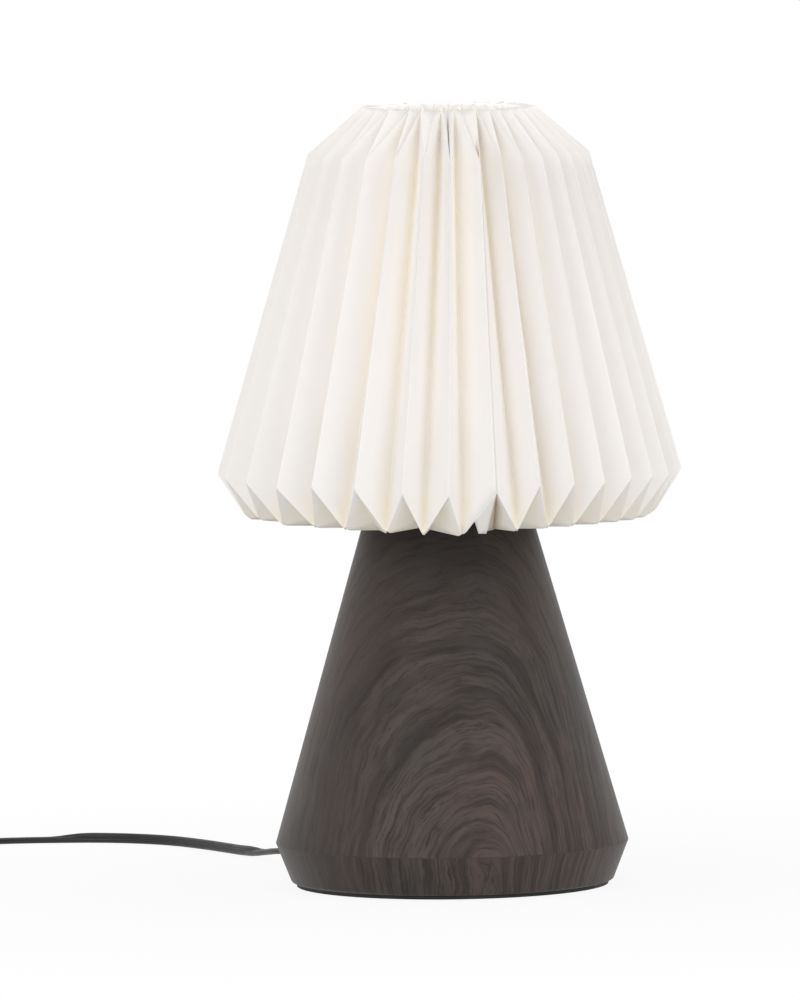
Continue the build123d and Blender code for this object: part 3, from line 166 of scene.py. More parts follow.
LEAD_SHARP = math.radians(40)
# Lengths, in metres, over which the lead first turns up, turns down or up again, and lies flat
TWIST_AWAY = 0.024
TWIST_AGAIN = 0.03
LIES_FLAT = 0.07

# Floor and lamps of the studio, in metres
FLOOR_REACH = 30.0
FLOOR_DROP = 0.0002
KEY_PLACE = (-1.4, -2.2, 1.5)
FILL_PLACE = (1.6, -2.0, 1.1)
LAMP_TARGET = (0.0, 0.0, 0.22)
LAMP_SIZE = 1.6

WHITE = (1.0, 1.0, 1.0)
PAINTED_RIDGE_HIGHLIGHT = (0.96, 0.955, 0.945)
MOTTLED_PAPER = (0.91, 0.88, 0.83)
PAPER_FIBRE = (0.85, 0.82, 0.77)
WOOD_DUST = (0.3, 0.28, 0.26)
PLASTIC_DUST = (0.32, 0.31, 0.3)
BLACK_GLASS = (0.012, 0.012, 0.02)
SKY_TINT = (1.0, 0.995, 0.985)


def unit(value):
    """A value kept between 0 and 1."""
    return min(max(value, 0.0), 1.0)


def colour(name, description, default):
    """A colour property with its default."""
    return FloatVectorProperty(
        name=name, description=description, default=default, min=0.0, max=1.0, subtype="COLOR", size=3
    )


def number(name, description, default, **kind):
    """A number property with its default and its kind."""
    return FloatProperty(name=name, description=description, default=default, **kind)


def length(name, description, default):
    """A length property in metres with its default."""
    return number(name, description, default, subtype="DISTANCE", unit="LENGTH")


def angle(name, description, degrees):
    """An angle property with its default in degrees."""
    return number(name, description, math.radians(degrees), subtype="ANGLE")


class LampShadeSheet(bpy.types.PropertyGroup):
    """Sizes and colours of the folded shade."""

    pleats: IntProperty(name="Pleats", description="Ridges round the shade", default=32, min=8, max=64)
    spread: number("Spread", "How much wider the pleats are on the left", 0.2)
    start: angle("First ridge", "Turn of the front ridge", -0.7)
    thickness: length("Paper thickness", "Thickness of the sheet", 0.0006)
    lean: angle("Lean", "How far the shade leans to the right", 0.5)
    shift: length("Shift", "How far the shade hangs to the right", 0.0008)
    bulge: length("Bulge", "How far the middle of a face stands out of flat", 0.0007)
    softness: length("Crease softness", "How far a ridge or valley is rounded off", 0.00045)
    blunt: length("Blunt tips", "How much of each tip of the hem is rounded off", 0.0015)
    paper: colour("Paper", "Colour of the open faces", (0.945, 0.922, 0.905))
    # Painted shade: the colour that the folds are darkened and warmed to.
    shadow: colour("Valley", "Colour deep in the folds", (0.935, 0.885, 0.765))
    # Glue and painted shade: the colour of the glue stain and of the shaded gap and hem pocket at the
    # seam.
    glue_and_shade: colour("Seam", "Colour beside the glued seam", (0.50, 0.41, 0.29))


class LampTurnedBase(bpy.types.PropertyGroup):
    """Grain and colours of the turned base."""

    ring: length("Ring spacing", "Distance between the main growth rings", 0.0066)
    arch_turn: angle("Arch turn", "Turn of the line that the rings arch round", 13)
    arch_height: length("Arch height", "Height of the smallest arch", 0.035)
    arch_depth: length("Arch depth", "Depth of the heart of the tree behind the smallest arch", 0.02)
    arch_slope: number("Arch slope", "How fast the heart gets deeper with height", 0.5)
    rim: length("Rim height", "Height of the widest edge", 0.0224)
    rim_radius: length("Rim radius", "Radius of the widest edge", 0.091)
    pale: colour("Pale wood", "Colour between the rings", (0.081, 0.061, 0.053))
    # Also the colour that the deeper stain and the painted shade and shadow on the base mix towards.
    dark: colour("Dark wood", "Colour of the late growth lines", (0.0095, 0.007, 0.006))
    warm: colour("Warm patches", "Reddish patches of the stain", (0.088, 0.0575, 0.0495))
    cool: colour("Cool patches", "Grey patches of the stain", (0.063, 0.053, 0.046))


class LampLead(bpy.types.PropertyGroup):
    """Section and colour of the flat twin lead."""

    width: length("Width", "Width of the flat lead", 0.0054)
    thickness: length("Thickness", "Thickness of the flat lead", 0.0032)
    flat_until: length("Flat until", "Length from the base that lies flat before the lead turns up", 0.062)
    flat_from: length("Flat from", "Length from the base where the lead lies down again", 0.2)
    sheath: colour("Sheath", "Colour of the lead", (0.0065, 0.0065, 0.007))


class LampFittings(bpy.types.PropertyGroup):
    """Colours of the small fittings."""

    plastic: colour("Black plastic", "Switch, plug and bush", (0.016, 0.016, 0.0165))
    holder: colour("Lampholder", "Moulded lampholder", (0.02, 0.0195, 0.019))
    insert: colour("Insert", "Pale insert of the lampholder", (0.72, 0.69, 0.62))
    wire: colour("Carrier paint", "Painted wire carrier", (0.82, 0.82, 0.8))
    steel: colour("Zinc", "Plated steel", (0.58, 0.59, 0.6))
    brass: colour("Brass", "Contacts of the lampholder", (0.68, 0.48, 0.2))
    nickel: colour("Nickel", "Bulb cap and plug pins", (0.72, 0.7, 0.66))
    opal: colour("Opal glass", "Bulb globe", (0.9, 0.885, 0.85))
    rubber: colour("Pad", "Pad under the base", (0.014, 0.014, 0.014))


class LampStudio(bpy.types.PropertyGroup):
    """Camera, light and floor."""

    distance: length("Camera distance", "From the camera to the lamp", 8.0)
    elevation: angle("Elevation", "Camera angle above the floor", 4.4)
    roll: angle("Roll", "Camera turn about its own axis", -0.7)
    picture_height: length("Picture height", "Height of the picture at the lamp", 0.5155)
    aim_x: length("Aim X", "Point in the middle of the picture, to the right", -0.0248)
    aim_z: length("Aim Z", "Point in the middle of the picture, above the floor", 0.199)
    sky: number("Sky", "Strength of the even light all round, save high above", 0.985)
    zenith: number("Zenith", "Strength of the light from straight above", 0.64)
    key: number("Key lamp", "Power of the large lamp at the front left", 9.0, unit="POWER")
    fill: number("Fill lamp", "Power of the large lamp at the front right", 9.0, unit="POWER")
    floor: colour("Floor", "Colour of the floor", (0.78, 0.78, 0.775))


class Nodes:
    """Adds, sets and links the nodes of one material or node group."""

    def __init__(self, tree):
        self.tree = tree

    def add(self, kind, **settings):
        """A new node with its settings."""
        node = self.tree.nodes.new("ShaderNode" + kind)
        for name, value in settings.items():
            setattr(node, name, value)
        return node

    def feed(self, socket, value):
        """Link a socket into another, or set a plain value on it."""
        if isinstance(value, bpy.types.NodeSocket):
            self.tree.links.new(value, socket)
        elif isinstance(value, (int, float)):
            socket.default_value = value
        else:
            value = tuple(value)
            wanted = len(socket.default_value)
            socket.default_value = value if len(value) == wanted else (*value, 1.0)

    def wire(self, node, *values):
        """Feed a node's inputs in their order and give back its outputs."""
        for socket, value in zip(node.inputs, values):
            self.feed(socket, value)
        return node.outputs

    def fill(self, node, **values):
        """Feed a node's inputs by name, with underscores for spaces, and give back its outputs."""
        for name, value in values.items():
            self.feed(node.inputs[name.replace("_", " ")], value)
        return node.outputs

    def math(self, operation, *values):
        """Result of one operation on values."""
        return self.wire(self.add("Math", operation=operation), *values)[0]

    def times(self, first, second):
        """Product of two values."""
        return self.math("MULTIPLY", first, second)

    def from_axis(self, x, y):
        """Distance from the upright axis."""
        return self.math("SQRT", self.math("ADD", self.times(x, x), self.times(y, y)))

    def vector(self, operation, *values):
        """Result of one operation on vectors."""
        outputs = self.wire(self.add("VectorMath", operation=operation), *values)
        return outputs["Value" if operation in ("LENGTH", "DOT_PRODUCT") else "Vector"]

    def mix(self, share, first, second):
        """A blend of two colours, which are the node's seventh and eighth inputs."""
        node = self.add("Mix", data_type="RGBA")
        for index, value in ((0, share), (6, first), (7, second)):
            self.feed(node.inputs[index], value)
        return node.outputs[2]

    def ramp(self, value, low, high, start=0.0, end=1.0):
        """A value eased from start to end between low and high."""
        node = self.add("MapRange", interpolation_type="SMOOTHSTEP")
        return self.fill(node, Value=value, From_Min=low, From_Max=high, To_Min=start, To_Max=end)[0]

    def noise(self, place, scale, detail=2.0, roughness=0.5):
        """Cloudy noise at a place, about 0.5 in the mean."""
        node = self.add("TexNoise")
        return self.fill(node, Vector=place, Scale=scale, Detail=detail, Roughness=roughness)[0]

    def split(self, vector):
        """The three parts of a vector."""
        return self.wire(self.add("SeparateXYZ"), vector)

    def join(self, x, y, z):
        """A vector from its three parts."""
        return self.wire(self.add("CombineXYZ"), x, y, z)[0]

    def group(self, tree, **values):
        """A node group with its inputs set."""
        return self.fill(self.add("Group", node_tree=tree), **values)

    def bump(self, height, strength, distance):
        """A normal from a height in metres."""
        return self.fill(self.add("Bump"), Strength=strength, Distance=distance, Height=height)[0]


class Finish(Nodes):
    """One material, with its shader at hand."""

    def __init__(self, name):
        self.material = bpy.data.materials.new(name)
        self.material.use_nodes = True
        super().__init__(self.material.node_tree)
        self.shader = self.tree.nodes["Principled BSDF"]
        self.place = self.add("TexCoord").outputs["Object"]

    def set(self, **values):
        """Feed the shader's inputs by name."""
        self.fill(self.shader, **values)


def effect_group(name, scale, outputs, draw):
    """A node group with a scale as its input and named results, drawn the first time it is asked for."""
    if name in bpy.data.node_groups:
        return bpy.data.node_groups[name]
    tree = bpy.data.node_groups.new(name, "ShaderNodeTree")
    socket = tree.interface.new_socket("Scale", in_out="INPUT", socket_type="NodeSocketFloat")
    socket.default_value = scale
    for label in outputs:
        tree.interface.new_socket(label, in_out="OUTPUT", socket_type="NodeSocketFloat")
    nodes = Nodes(tree)
    given = tree.nodes.new("NodeGroupInput").outputs["Scale"]
    results = draw(nodes, nodes.add("TexCoord").outputs["Object"], given)
    nodes.wire(tree.nodes.new("NodeGroupOutput"), *results)
    return tree


def moulded_grain():
    """Fine pitting and cloudiness of moulded plastic and rubber."""

    def draw(nodes, place, scale):
        return nodes.noise(place, scale, 3.0, 0.6), nodes.noise(place, nodes.times(scale, 0.06), 4.0)

    return effect_group("Moulded grain", 2500.0, ["Height", "Cloud"], draw)


def metal_marks():
    """Fine turning lines and tarnish of plated or bare metal."""

    def draw(nodes, place, scale):
        x, y, z = nodes.split(place)
        turned = nodes.join(nodes.times(nodes.from_axis(x, y), 6.0), 0.0, nodes.times(z, 6.0))
        return nodes.noise(turned, scale, 2.0, 0.7), nodes.noise(place, nodes.times(scale, 0.3), 4.0)

    return effect_group("Metal marks", 400.0, ["Lines", "Tarnish"], draw)


def settled_dust():
    """A thin film of dust on what faces up."""

    def draw(nodes, place, scale):
        facing = nodes.split(nodes.add("NewGeometry").outputs["Normal"])[2]
        patches = nodes.noise(place, scale, 5.0, 0.65)
        return [nodes.times(nodes.ramp(facing, 0.45, 0.95), nodes.ramp(patches, 0.35, 0.75))]

    return effect_group("Settled dust", 220.0, ["Mask"], draw)


def paper_finish(sheet):
    """Matt folded paper with painted shade, warmer and darker deep in the folds, a painted highlight on
    the ridges and a painted glow inside.
    """
    paper = Finish("shade_paper")
    fold = paper.add("Attribute", attribute_name="fold").outputs["Fac"]
    seam = paper.add("Attribute", attribute_name="seam").outputs["Fac"]
    clouds = paper.noise(paper.place, 55.0, 4.0, 0.55)
    drawn = paper.vector("MULTIPLY", paper.place, (1.0, 1.0, 0.45))
    fibres = paper.noise(drawn, 1300.0, 3.0, 0.65)
    # Painted shade: deep in the folds the paper is darkened and warmed towards the valley colour.
    depth = paper.math("POWER", paper.ramp(fold, 0.45, 1.0), 1.4)
    depth = paper.times(depth, paper.ramp(clouds, 0.25, 0.75, 0.72, 0.95))
    x, y, z = paper.split(paper.place)
    # The painted shade in the folds shows less in the lower half above the hem, and little at the top
    # edge.
    upper = paper.ramp(z, *MIDDLE_BAND, 0.55, 1.0)
    faint = paper.math("MAXIMUM", upper, paper.ramp(z, *HEM_BAND, 1.0, 0.0))
    faint = paper.times(faint, paper.ramp(z, *SHOULDER_BAND, 1.0, 0.3))
    tone = paper.mix(paper.times(depth, faint), sheet.paper, sheet.shadow)
    # Painted highlight: the ridges are lightened almost to white.
    tone = paper.mix(paper.ramp(fold, 0.0, 0.06, 0.55, 0.0), tone, PAINTED_RIDGE_HIGHLIGHT)
    tone = paper.mix(paper.ramp(clouds, 0.3, 0.7, 0.0, 0.07), tone, MOTTLED_PAPER)
    tone = paper.mix(paper.ramp(fibres, 0.55, 0.8, 0.0, 0.1), tone, PAPER_FIBRE)
    tone = paper.mix(seam, tone, sheet.glue_and_shade)
    # Painted light: the inside of the open top glows, and the narrow folds a little, standing in for
    # daylight through the thin paper.
    out = paper.vector("NORMALIZE", paper.join(x, y, 0.0))
    facing = paper.vector("DOT_PRODUCT", paper.add("TexCoord").outputs["Normal"], out)
    through = paper.times(paper.ramp(facing, -0.12, 0.02, 1.0, 0.0), paper.ramp(z, *RIM_BAND))
    folded = paper.times(paper.ramp(fold, 0.2, 0.7, 0.0, 0.24), paper.ramp(z, *FOOT_BAND))
    through = paper.math("MAXIMUM", through, paper.times(folded, faint))
    paper.set(
        Base_Color=tone,
        Roughness=paper.ramp(clouds, 0.3, 0.7, 0.74, 0.88),
        Specular_IOR_Level=0.18,
        Emission_Color=paper.mix(through, (0.0, 0.0, 0.0), sheet.paper),
        Emission_Strength=0.31,
        Normal=paper.bump(fibres, 0.16, 0.0002),
    )
    return paper.material


def wood_finish(base):
    """Stained wood whose growth rings arch up the front, with fibre streaks and two-toned patches."""
    wood = Finish("base_wood")
    x, y, z = wood.split(wood.place)
    # Below the rim the grain runs straight down, so places there are taken from the rim above them.
    radius = wood.math("MAXIMUM", wood.from_axis(x, y), 0.001)
    above = wood.ramp(z, base.rim - RIM_EASE, base.rim)
    below = wood.math("SUBTRACT", 1.0, above)
    reach = wood.math("ADD", wood.times(radius, above), wood.times(below, base.rim_radius))
    rise = wood.math("SUBTRACT", wood.math("MAXIMUM", z, base.rim), base.arch_height)
    # The rings arch round a line up the front and lie wider apart on its left.
    sine, cosine = math.sin(base.arch_turn), math.cos(base.arch_turn)
    front = wood.vector("DOT_PRODUCT", wood.place, (sine, -cosine, 0.0))
    right = wood.vector("DOT_PRODUCT", wood.place, (cosine, sine, 0.0))
    facing = wood.math("DIVIDE", front, radius)
    chord = wood.math("SQRT", wood.times(wood.math("SUBTRACT", 1.0, facing), 2.0))
    chord = wood.times(chord, reach)
    uneven = wood.times(wood.math("SIGN", right), wood.ramp(facing, -0.6, 0.4, 0.0, RING_UNEVEN))
    aside = wood.times(chord, wood.math("ADD", uneven, RING_SQUEEZE))
    depth = wood.math("ADD", wood.times(rise, base.arch_slope), base.arch_depth)
    away = wood.vector("LENGTH", wood.join(aside, depth, 0.0))
    slow = wood.math("SUBTRACT", wood.noise(wood.place, 24.0), 0.5)
    quick = wood.math("SUBTRACT", wood.noise(wood.place, 130.0, 3.0, 0.6), 0.5)
    away = wood.math("ADD", away, wood.times(slow, SLOW_WANDER))
    away = wood.math("ADD", away, wood.times(quick, QUICK_WANDER))
    away = wood.times(away, wood.ramp(above, 0.0, 1.0, 1.9, 1.0))

    def streaks(across, along, detail):
        """Noise drawn out along the rings."""
        place = wood.join(wood.times(away, across), wood.times(x, along), wood.times(z, along))
        return wood.noise(place, 1.0, detail, 0.6)

    bands = streaks(1.1 / base.ring, 9.0, 2.0)
    lines = streaks(3.2 / base.ring, 24.0, 3.0)
    hairs = streaks(9.5 / base.ring, 50.0, 2.0)
    broken = wood.noise(wood.place, 75.0, 3.0, 0.6)
    patches = wood.noise(wood.place, 15.0, 3.0)
    tone = wood.mix(wood.ramp(patches, 0.36, 0.5, 0.8, 0.0), base.pale, base.cool)
    tone = wood.mix(wood.ramp(patches, 0.5, 0.66, 0.0, 0.8), tone, base.warm)
    edge = wood.math("ABSOLUTE", wood.math("SUBTRACT", lines, 0.47))
    stroke = wood.times(wood.ramp(edge, 0.0, 0.03, 0.6, 0.0), wood.ramp(broken, 0.45, 0.6))
    # The figure is strongest low on the front, and calmer above, on the left and round the sides.
    near = wood.math("SUBTRACT", facing, wood.ramp(right, -0.012, 0.0, 0.16, 0.0))
    strong = wood.times(wood.ramp(near, 0.2, 0.75, 0.35, 1.0), wood.ramp(z, 0.09, 0.17, 1.0, 0.62))
    # The stain is deeper where the figure is calm; painted shade darkens the right flank, and a painted
    # shadow of the shade darkens the front high up.
    painted_flank_shade = wood.ramp(wood.math("DIVIDE", right, radius), 0.62, 0.97, 0.0, 0.44)
    stain_and_shade = wood.math("MAXIMUM", wood.ramp(strong, 0.4, 1.0, 0.3, 0.0), painted_flank_shade)
    # Painted shadow of the shade: the front grows darker towards the top.
    middle = wood.times(wood.ramp(facing, 0.55, 0.9), wood.ramp(z, 0.05, 0.11, 0.0, 0.13))
    tone = wood.mix(wood.math("ADD", stain_and_shade, middle), tone, base.dark)
    for mark in (
        wood.ramp(bands, 0.4, 0.64, 0.0, 0.56),
        wood.ramp(lines, 0.46, 0.7, 0.0, 0.6),
        wood.ramp(hairs, 0.48, 0.72, 0.0, 0.55),
        stroke,
    ):
        tone = wood.mix(wood.times(mark, strong), tone, base.dark)
    dust = wood.group(settled_dust())["Mask"]
    tone = wood.mix(wood.times(dust, 0.12), tone, WOOD_DUST)
    relief = wood.math("SUBTRACT", wood.times(hairs, -0.5), wood.times(lines, 0.35))
    wood.set(
        Base_Color=tone,
        Roughness=wood.ramp(hairs, 0.3, 0.75, 0.44, 0.58),
        Specular_IOR_Level=0.26,
        Sheen_Weight=0.08,
        Sheen_Roughness=0.4,
        Normal=wood.bump(relief, 0.2, 0.0003),
    )
    return wood.material


def plastic_finish(name, tint, shine, dusty, grain=2500.0, pitted=0.12):
    """Moulded plastic or rubber with fine pits, cloudy gloss and a little dust on top."""
    plastic = Finish(name)
    marks = plastic.group(moulded_grain(), Scale=grain)
    dull = plastic.ramp(marks["Cloud"], 0.3, 0.7, 0.0, 0.35)
    tone = plastic.mix(dull, tint, [part * 0.72 for part in tint])
    dust = plastic.group(settled_dust())["Mask"]
    tone = plastic.mix(plastic.times(dust, dusty), tone, PLASTIC_DUST)
    plastic.set(
        Base_Color=tone,
        Roughness=plastic.ramp(marks["Cloud"], 0.25, 0.75, shine - 0.06, shine + 0.08),
        Normal=plastic.bump(marks["Height"], pitted, 0.0002),
    )
    return plastic.material


def metal_finish(name, tint, shine, tarnish):
    """Bare or plated metal with turning lines and faint tarnish."""
    metal = Finish(name)
    marks = metal.group(metal_marks())
    dull = metal.ramp(marks["Tarnish"], 0.45, 0.75, 0.0, tarnish)
    metal.set(
        Base_Color=metal.mix(dull, tint, [part * 0.55 for part in tint]),
        Metallic=1.0,
        Roughness=metal.ramp(marks["Lines"], 0.3, 0.7, shine - 0.07, shine + 0.1),
        Normal=metal.bump(marks["Lines"], 0.08, 0.0001),
    )
    return metal.material


def glass_finish(tint):
    """Milk-white glass with a soft surface gloss."""
    glass = Finish("bulb_opal")
    cloud = glass.noise(glass.place, 160.0, 3.0)
    dull = glass.ramp(cloud, 0.3, 0.7, 0.0, 0.25)
    glass.set(
        Base_Color=glass.mix(dull, tint, [part * 0.94 for part in tint]),
        Roughness=glass.ramp(cloud, 0.3, 0.7, 0.16, 0.24),
        Coat_Weight=0.4,
    )
    return glass.material


def dress(material, *names):
    """Give CAD nodes a material."""
    for name in names:
        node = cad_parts[name]
        if not node.material_slots:
            node.data.materials.append(material)
        for slot in node.material_slots:
            slot.material = material


def add_object(name, data):
    """A new object in the scene."""
    made = bpy.data.objects.new(name, data)
    bpy.context.scene.collection.objects.link(made)
    return made


def add_mesh(name, points, faces, material, body):
    """A mesh piece that rides on a body."""
    mesh = bpy.data.meshes.new(name)
    mesh.from_pydata(points, [], faces)
    mesh.update()
    mesh.materials.append(material)
    piece = add_object(name, mesh)
    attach(piece, body)
    return piece


def seam_glue_and_shade(share, down):
    """How much glue stain and painted shade show at a place on the face beside the seam: most at the top.
    """
    wide = GLUE_SHADE_TOP - GLUE_SHADE_TAPER * min(down * 1.6, 1.0)
    return unit((wide - share) / (wide * 0.5)) * (1.0 - 0.6 * min(down * 4.0, 1.0))


def crease_rounding(share):
    """How much a face is drawn in by the rounding of its ridge, or out by that of its valley."""
    ridge_part = max(1.0 - share / CREASE_SHARE, 0.0)
    valley_part = max(1.0 - (1.0 - share) / CREASE_SHARE, 0.0)
    return ridge_part**2 - valley_part**2


class FoldedSheet:
    """Points and faces of the shade's sheet, one named point for each place so that creases join."""

    def __init__(self, sheet):
        self.sheet = sheet
        self.points = []
        self.faces = []
        self.fold = []
        self.seam = []
        self.places = {}
        chance = random.Random(7)
        self.loose = {
            table: [chance.uniform(low, high) for _ in range(sheet.pleats)]
            for table, low, high in (
                (RIDGE_NUDGE, -0.5, 0.5), (TIP_NUDGE, -0.9, 0.9), (HEM_NUDGE, -0.8, 0.8),
                (SHOULDER_NUDGE, -0.4, 0.4), (TOP_NUDGE, -0.8, 0.8),
                (RIDGE_DROP, -0.2, 1.6), (TIP_DROP, 0.7, 2.1), (HEM_DROP, 0.0, 0.6),
            )
        }

    def own(self, table, index):
        """A crease's own offset: from its table near the front, by chance elsewhere."""
        near = index if index < self.sheet.pleats / 2 else index - self.sheet.pleats
        step = near - NUDGE_FIRST
        return table[step] if 0 <= step < len(table) else self.loose[table][index]

    def spot(self, end, turn, lower, aside=0.0):
        """A point from its radius and height at a turn, some millimetres lower and some degrees aside."""
        azimuth = turn + self.sheet.spread * (math.cos(turn) - 1.0) + math.radians(aside)
        height = end[1] - lower / 1000.0
        aslant = self.sheet.shift + math.tan(self.sheet.lean) * (height - SEAT_HEIGHT)
        return Vector((end[0] * math.sin(azimuth) + aslant, -end[0] * math.cos(azimuth), height))

    def corners(self, ridge, side):
        """The six corners of the half pleat on one side of a ridge."""
        sheet = self.sheet
        step = 2.0 * math.pi / sheet.pleats
        beside = [(ridge - 1) % sheet.pleats, ridge]
        valley = beside[side > 0]
        ridge_turn = sheet.start + step * ridge
        valley_turn = ridge_turn + side * step / 2.0
        aside = self.own(RIDGE_NUDGE, ridge)
        shoulder_aside = aside * 0.4 + self.own(SHOULDER_NUDGE, ridge)
        ridge_foot = (RIDGE_FOOT[0] + sheet.softness, RIDGE_FOOT[1])
        ridge_shoulder = (RIDGE_SHOULDER[0] + sheet.softness, RIDGE_SHOULDER[1])
        sag = SHOULDER_SAG * abs(math.sin(ridge_turn))
        tip_drop = self.own(TIP_DROP, valley)
        top_drop = self.loose[TIP_DROP][valley] * 0.6 - 0.8
        hem_drop = sum(self.own(TIP_DROP, each) for each in beside) / 2.0 + self.own(HEM_DROP, ridge)
        return {
            "foot": self.spot(ridge_foot, ridge_turn, self.own(RIDGE_DROP, ridge), aside),
            "shoulder": self.spot(ridge_shoulder, ridge_turn, sag, shoulder_aside),
            "tip": self.spot(VALLEY_FOOT, valley_turn, tip_drop, self.own(TIP_NUDGE, valley)),
            "top": self.spot(VALLEY_TOP, valley_turn, top_drop, self.own(TOP_NUDGE, valley)),
            "hem": self.spot(HEM_FOLD, ridge_turn, hem_drop, aside + self.own(HEM_NUDGE, ridge)),
            "rim": self.spot(RIM_FOLD, ridge_turn, self.loose[RIDGE_DROP][ridge] * 0.3),
            "valley": valley,
        }

    def point(self, key, place, fold, seam):
        """Index of a named point, added the first time it is asked for."""
        if key not in self.places:
            self.places[key] = len(self.points)
            self.points.append(place)
            self.fold.append(fold)
            self.seam.append(seam)
        return self.places[key]

    def strip(self, first, second, flip):
        """Faces between two rows of points."""
        for left in range(len(first) - 1):
            corners = [first[left], first[left + 1], second[left + 1], second[left]]
            ring = list(dict.fromkeys(corners))
            if len(ring) > 2:
                self.faces.append(ring[::-1] if flip else ring)

    def rounded(self, share):
        """How far the hem's edge is lifted beside a tip so that the tip is blunt."""
        return self.sheet.blunt * max(1.0 - (1.0 - share) / BLUNT_SHARE, 0.0) ** 2

    def patch(self, name, corners, fold, glue_and_shade):
        """A sheet between four corners, two on top and two below, with its glue stain and painted shade
        from side to side.
        """
        before = None
        for row in range(FLAP_ROWS + 1):
            line = []
            for column in range(FLAP_COLUMNS + 1):
                share = column / FLAP_COLUMNS
                top = corners[0].lerp(corners[1], share)
                place = top.lerp(corners[2].lerp(corners[3], share), row / FLAP_ROWS)
                glue_and_shade_share = glue_and_shade[0] + (glue_and_shade[1] - glue_and_shade[0]) * share
                line.append(self.point((name, row, column), place, fold, glue_and_shade_share))
            if before:
                self.strip(before, line, True)
            before = line

    def loose_flap(self, foot, hem, tip):
        """The hem on the cut side of the seam: a narrow flap turned under, and the glued lap behind it in
        painted shade.
        """
        outward = Vector((foot.x, foot.y, 0.0)).normalized()
        corner = hem.lerp(tip, FLAP_NEAR) - Vector((0.0, 0.0, FLAP_OUT)) + outward * FLAP_OUT
        far_corner = hem.lerp(tip, FLAP_FAR) + outward * FLAP_OUT
        self.patch("flap", (foot, foot.lerp(tip, FLAP_TOP), corner, far_corner), FLAP_DEPTH, (0.0, 0.0))
        behind = hem.lerp(tip, LAP_FAR) - outward * LAP_BEHIND
        top = foot - outward * SEAM_SUNK
        self.patch("lap", (top, top.lerp(tip, LAP_TOP), hem, behind), 1.0, (1.0, 0.1))

    def half_pleat(self, ridge, side):
        """Sheet from a ridge to the valley on one side, with its folded hem and rim."""
        sheet = self.sheet
        ends = self.corners(ridge, side)
        cut = side if ridge == SEAM_RIDGE else 0
        slit = side if ridge in (SEAM_RIDGE, SLIT_RIDGE) else 0
        outward = (ends["tip"] - ends["foot"]).cross(ends["shoulder"] - ends["foot"]).normalized()
        if outward.dot(Vector((ends["foot"].x, ends["foot"].y, 0.0))) < 0:
            outward = -outward
        chance = random.Random(100 + 2 * ridge + (side > 0))
        swell = sheet.bulge * chance.uniform(-0.5, 1.0)
        shoulder, foot, rim, hem = (ends[name].copy() for name in ("shoulder", "foot", "rim", "hem"))
        inward = Vector((-foot.x, -foot.y, 0.0)).normalized()
        aside = Vector((-inward.y, inward.x, 0.0)) * -side
        if cut > 0:
            foot += inward * SEAM_SUNK + aside * SEAM_ASIDE
            shoulder += inward * SEAM_SUNK / 2.0
        if ridge == SLIT_RIDGE and side < 0:
            rim += aside * SLIT_WIDTH
        rows = []
        for row in range(SHEET_ROWS + 1):
            down = row / SHEET_ROWS
            ridge_place = shoulder.lerp(foot, down)
            valley_place = ends["top"].lerp(ends["tip"], down)
            line = []
            for column, share in enumerate(ACROSS):
                middle = math.sin(math.pi * share)
                place = ridge_place.lerp(valley_place, share)
                place += outward * swell * middle * math.sin(math.pi * down)
                wave = noise.noise(Vector((ridge * 3.1 + side, share * 1.5, down * 5.0)))
                place += outward * WAVE_HEIGHT * wave * middle
                place += inward * sheet.softness * crease_rounding(share)
                place.z += self.rounded(share) * (row == SHEET_ROWS)
                if column == 0:
                    key = ("ridge", ridge, row, cut)
                elif column == len(ACROSS) - 1:
                    key = ("valley", ends["valley"], row)
                else:
                    key = ("face", ridge, side, row, column)
                glue_and_shade = 0.0
                if cut > 0:
                    gap = SEAM_GAP * math.sin(math.pi * down**GAP_RISE)
                    place += (inward + aside * 0.5) * gap * max(1.0 - share / GAP_SHARE, 0.0)
                    glue_and_shade = seam_glue_and_shade(share, down)
                line.append(self.point(key, place, share, glue_and_shade))
            rows.append(line)
        for upper, lower in zip(rows, rows[1:]):
            self.strip(upper, lower, side > 0)
        for name, edge, outer, corner, far, mark, deep in (
            ("hem", rows[-1], foot, hem, "tip", cut, HEM_DEPTH),
            ("rim", rows[0], shoulder, rim, "top", slit, RIM_DEPTH),
        ):
            if name == "hem" and cut < 0:
                self.loose_flap(foot, hem, ends["tip"])
                continue
            before = edge
            for row in range(1, FOLD_ROWS + 1):
                back = row / FOLD_ROWS
                start = outer.lerp(corner, back)
                line = []
                for column, share in enumerate(ACROSS):
                    place = start.lerp(ends[far], share)
                    if name == "hem":
                        place.z += self.rounded(share)
                    if column == 0:
                        key = (name, ridge, row, mark)
                    elif column == len(ACROSS) - 1:
                        line.append(edge[-1])
                        continue
                    else:
                        key = (name, ridge, side, row, column)
                    depth = deep + FOLD_DEEPER * (1.0 - share) * back
                    # Painted shade in the hem pocket beside the seam.
                    glue_and_shade = max(1.0 - share / GLUE_SHADE_HEM, 0.0) if name == "hem" and cut > 0 else 0.0
                    line.append(self.point(key, place, depth, glue_and_shade))
                self.strip(before, line, (side > 0) == (name == "hem"))
                before = line


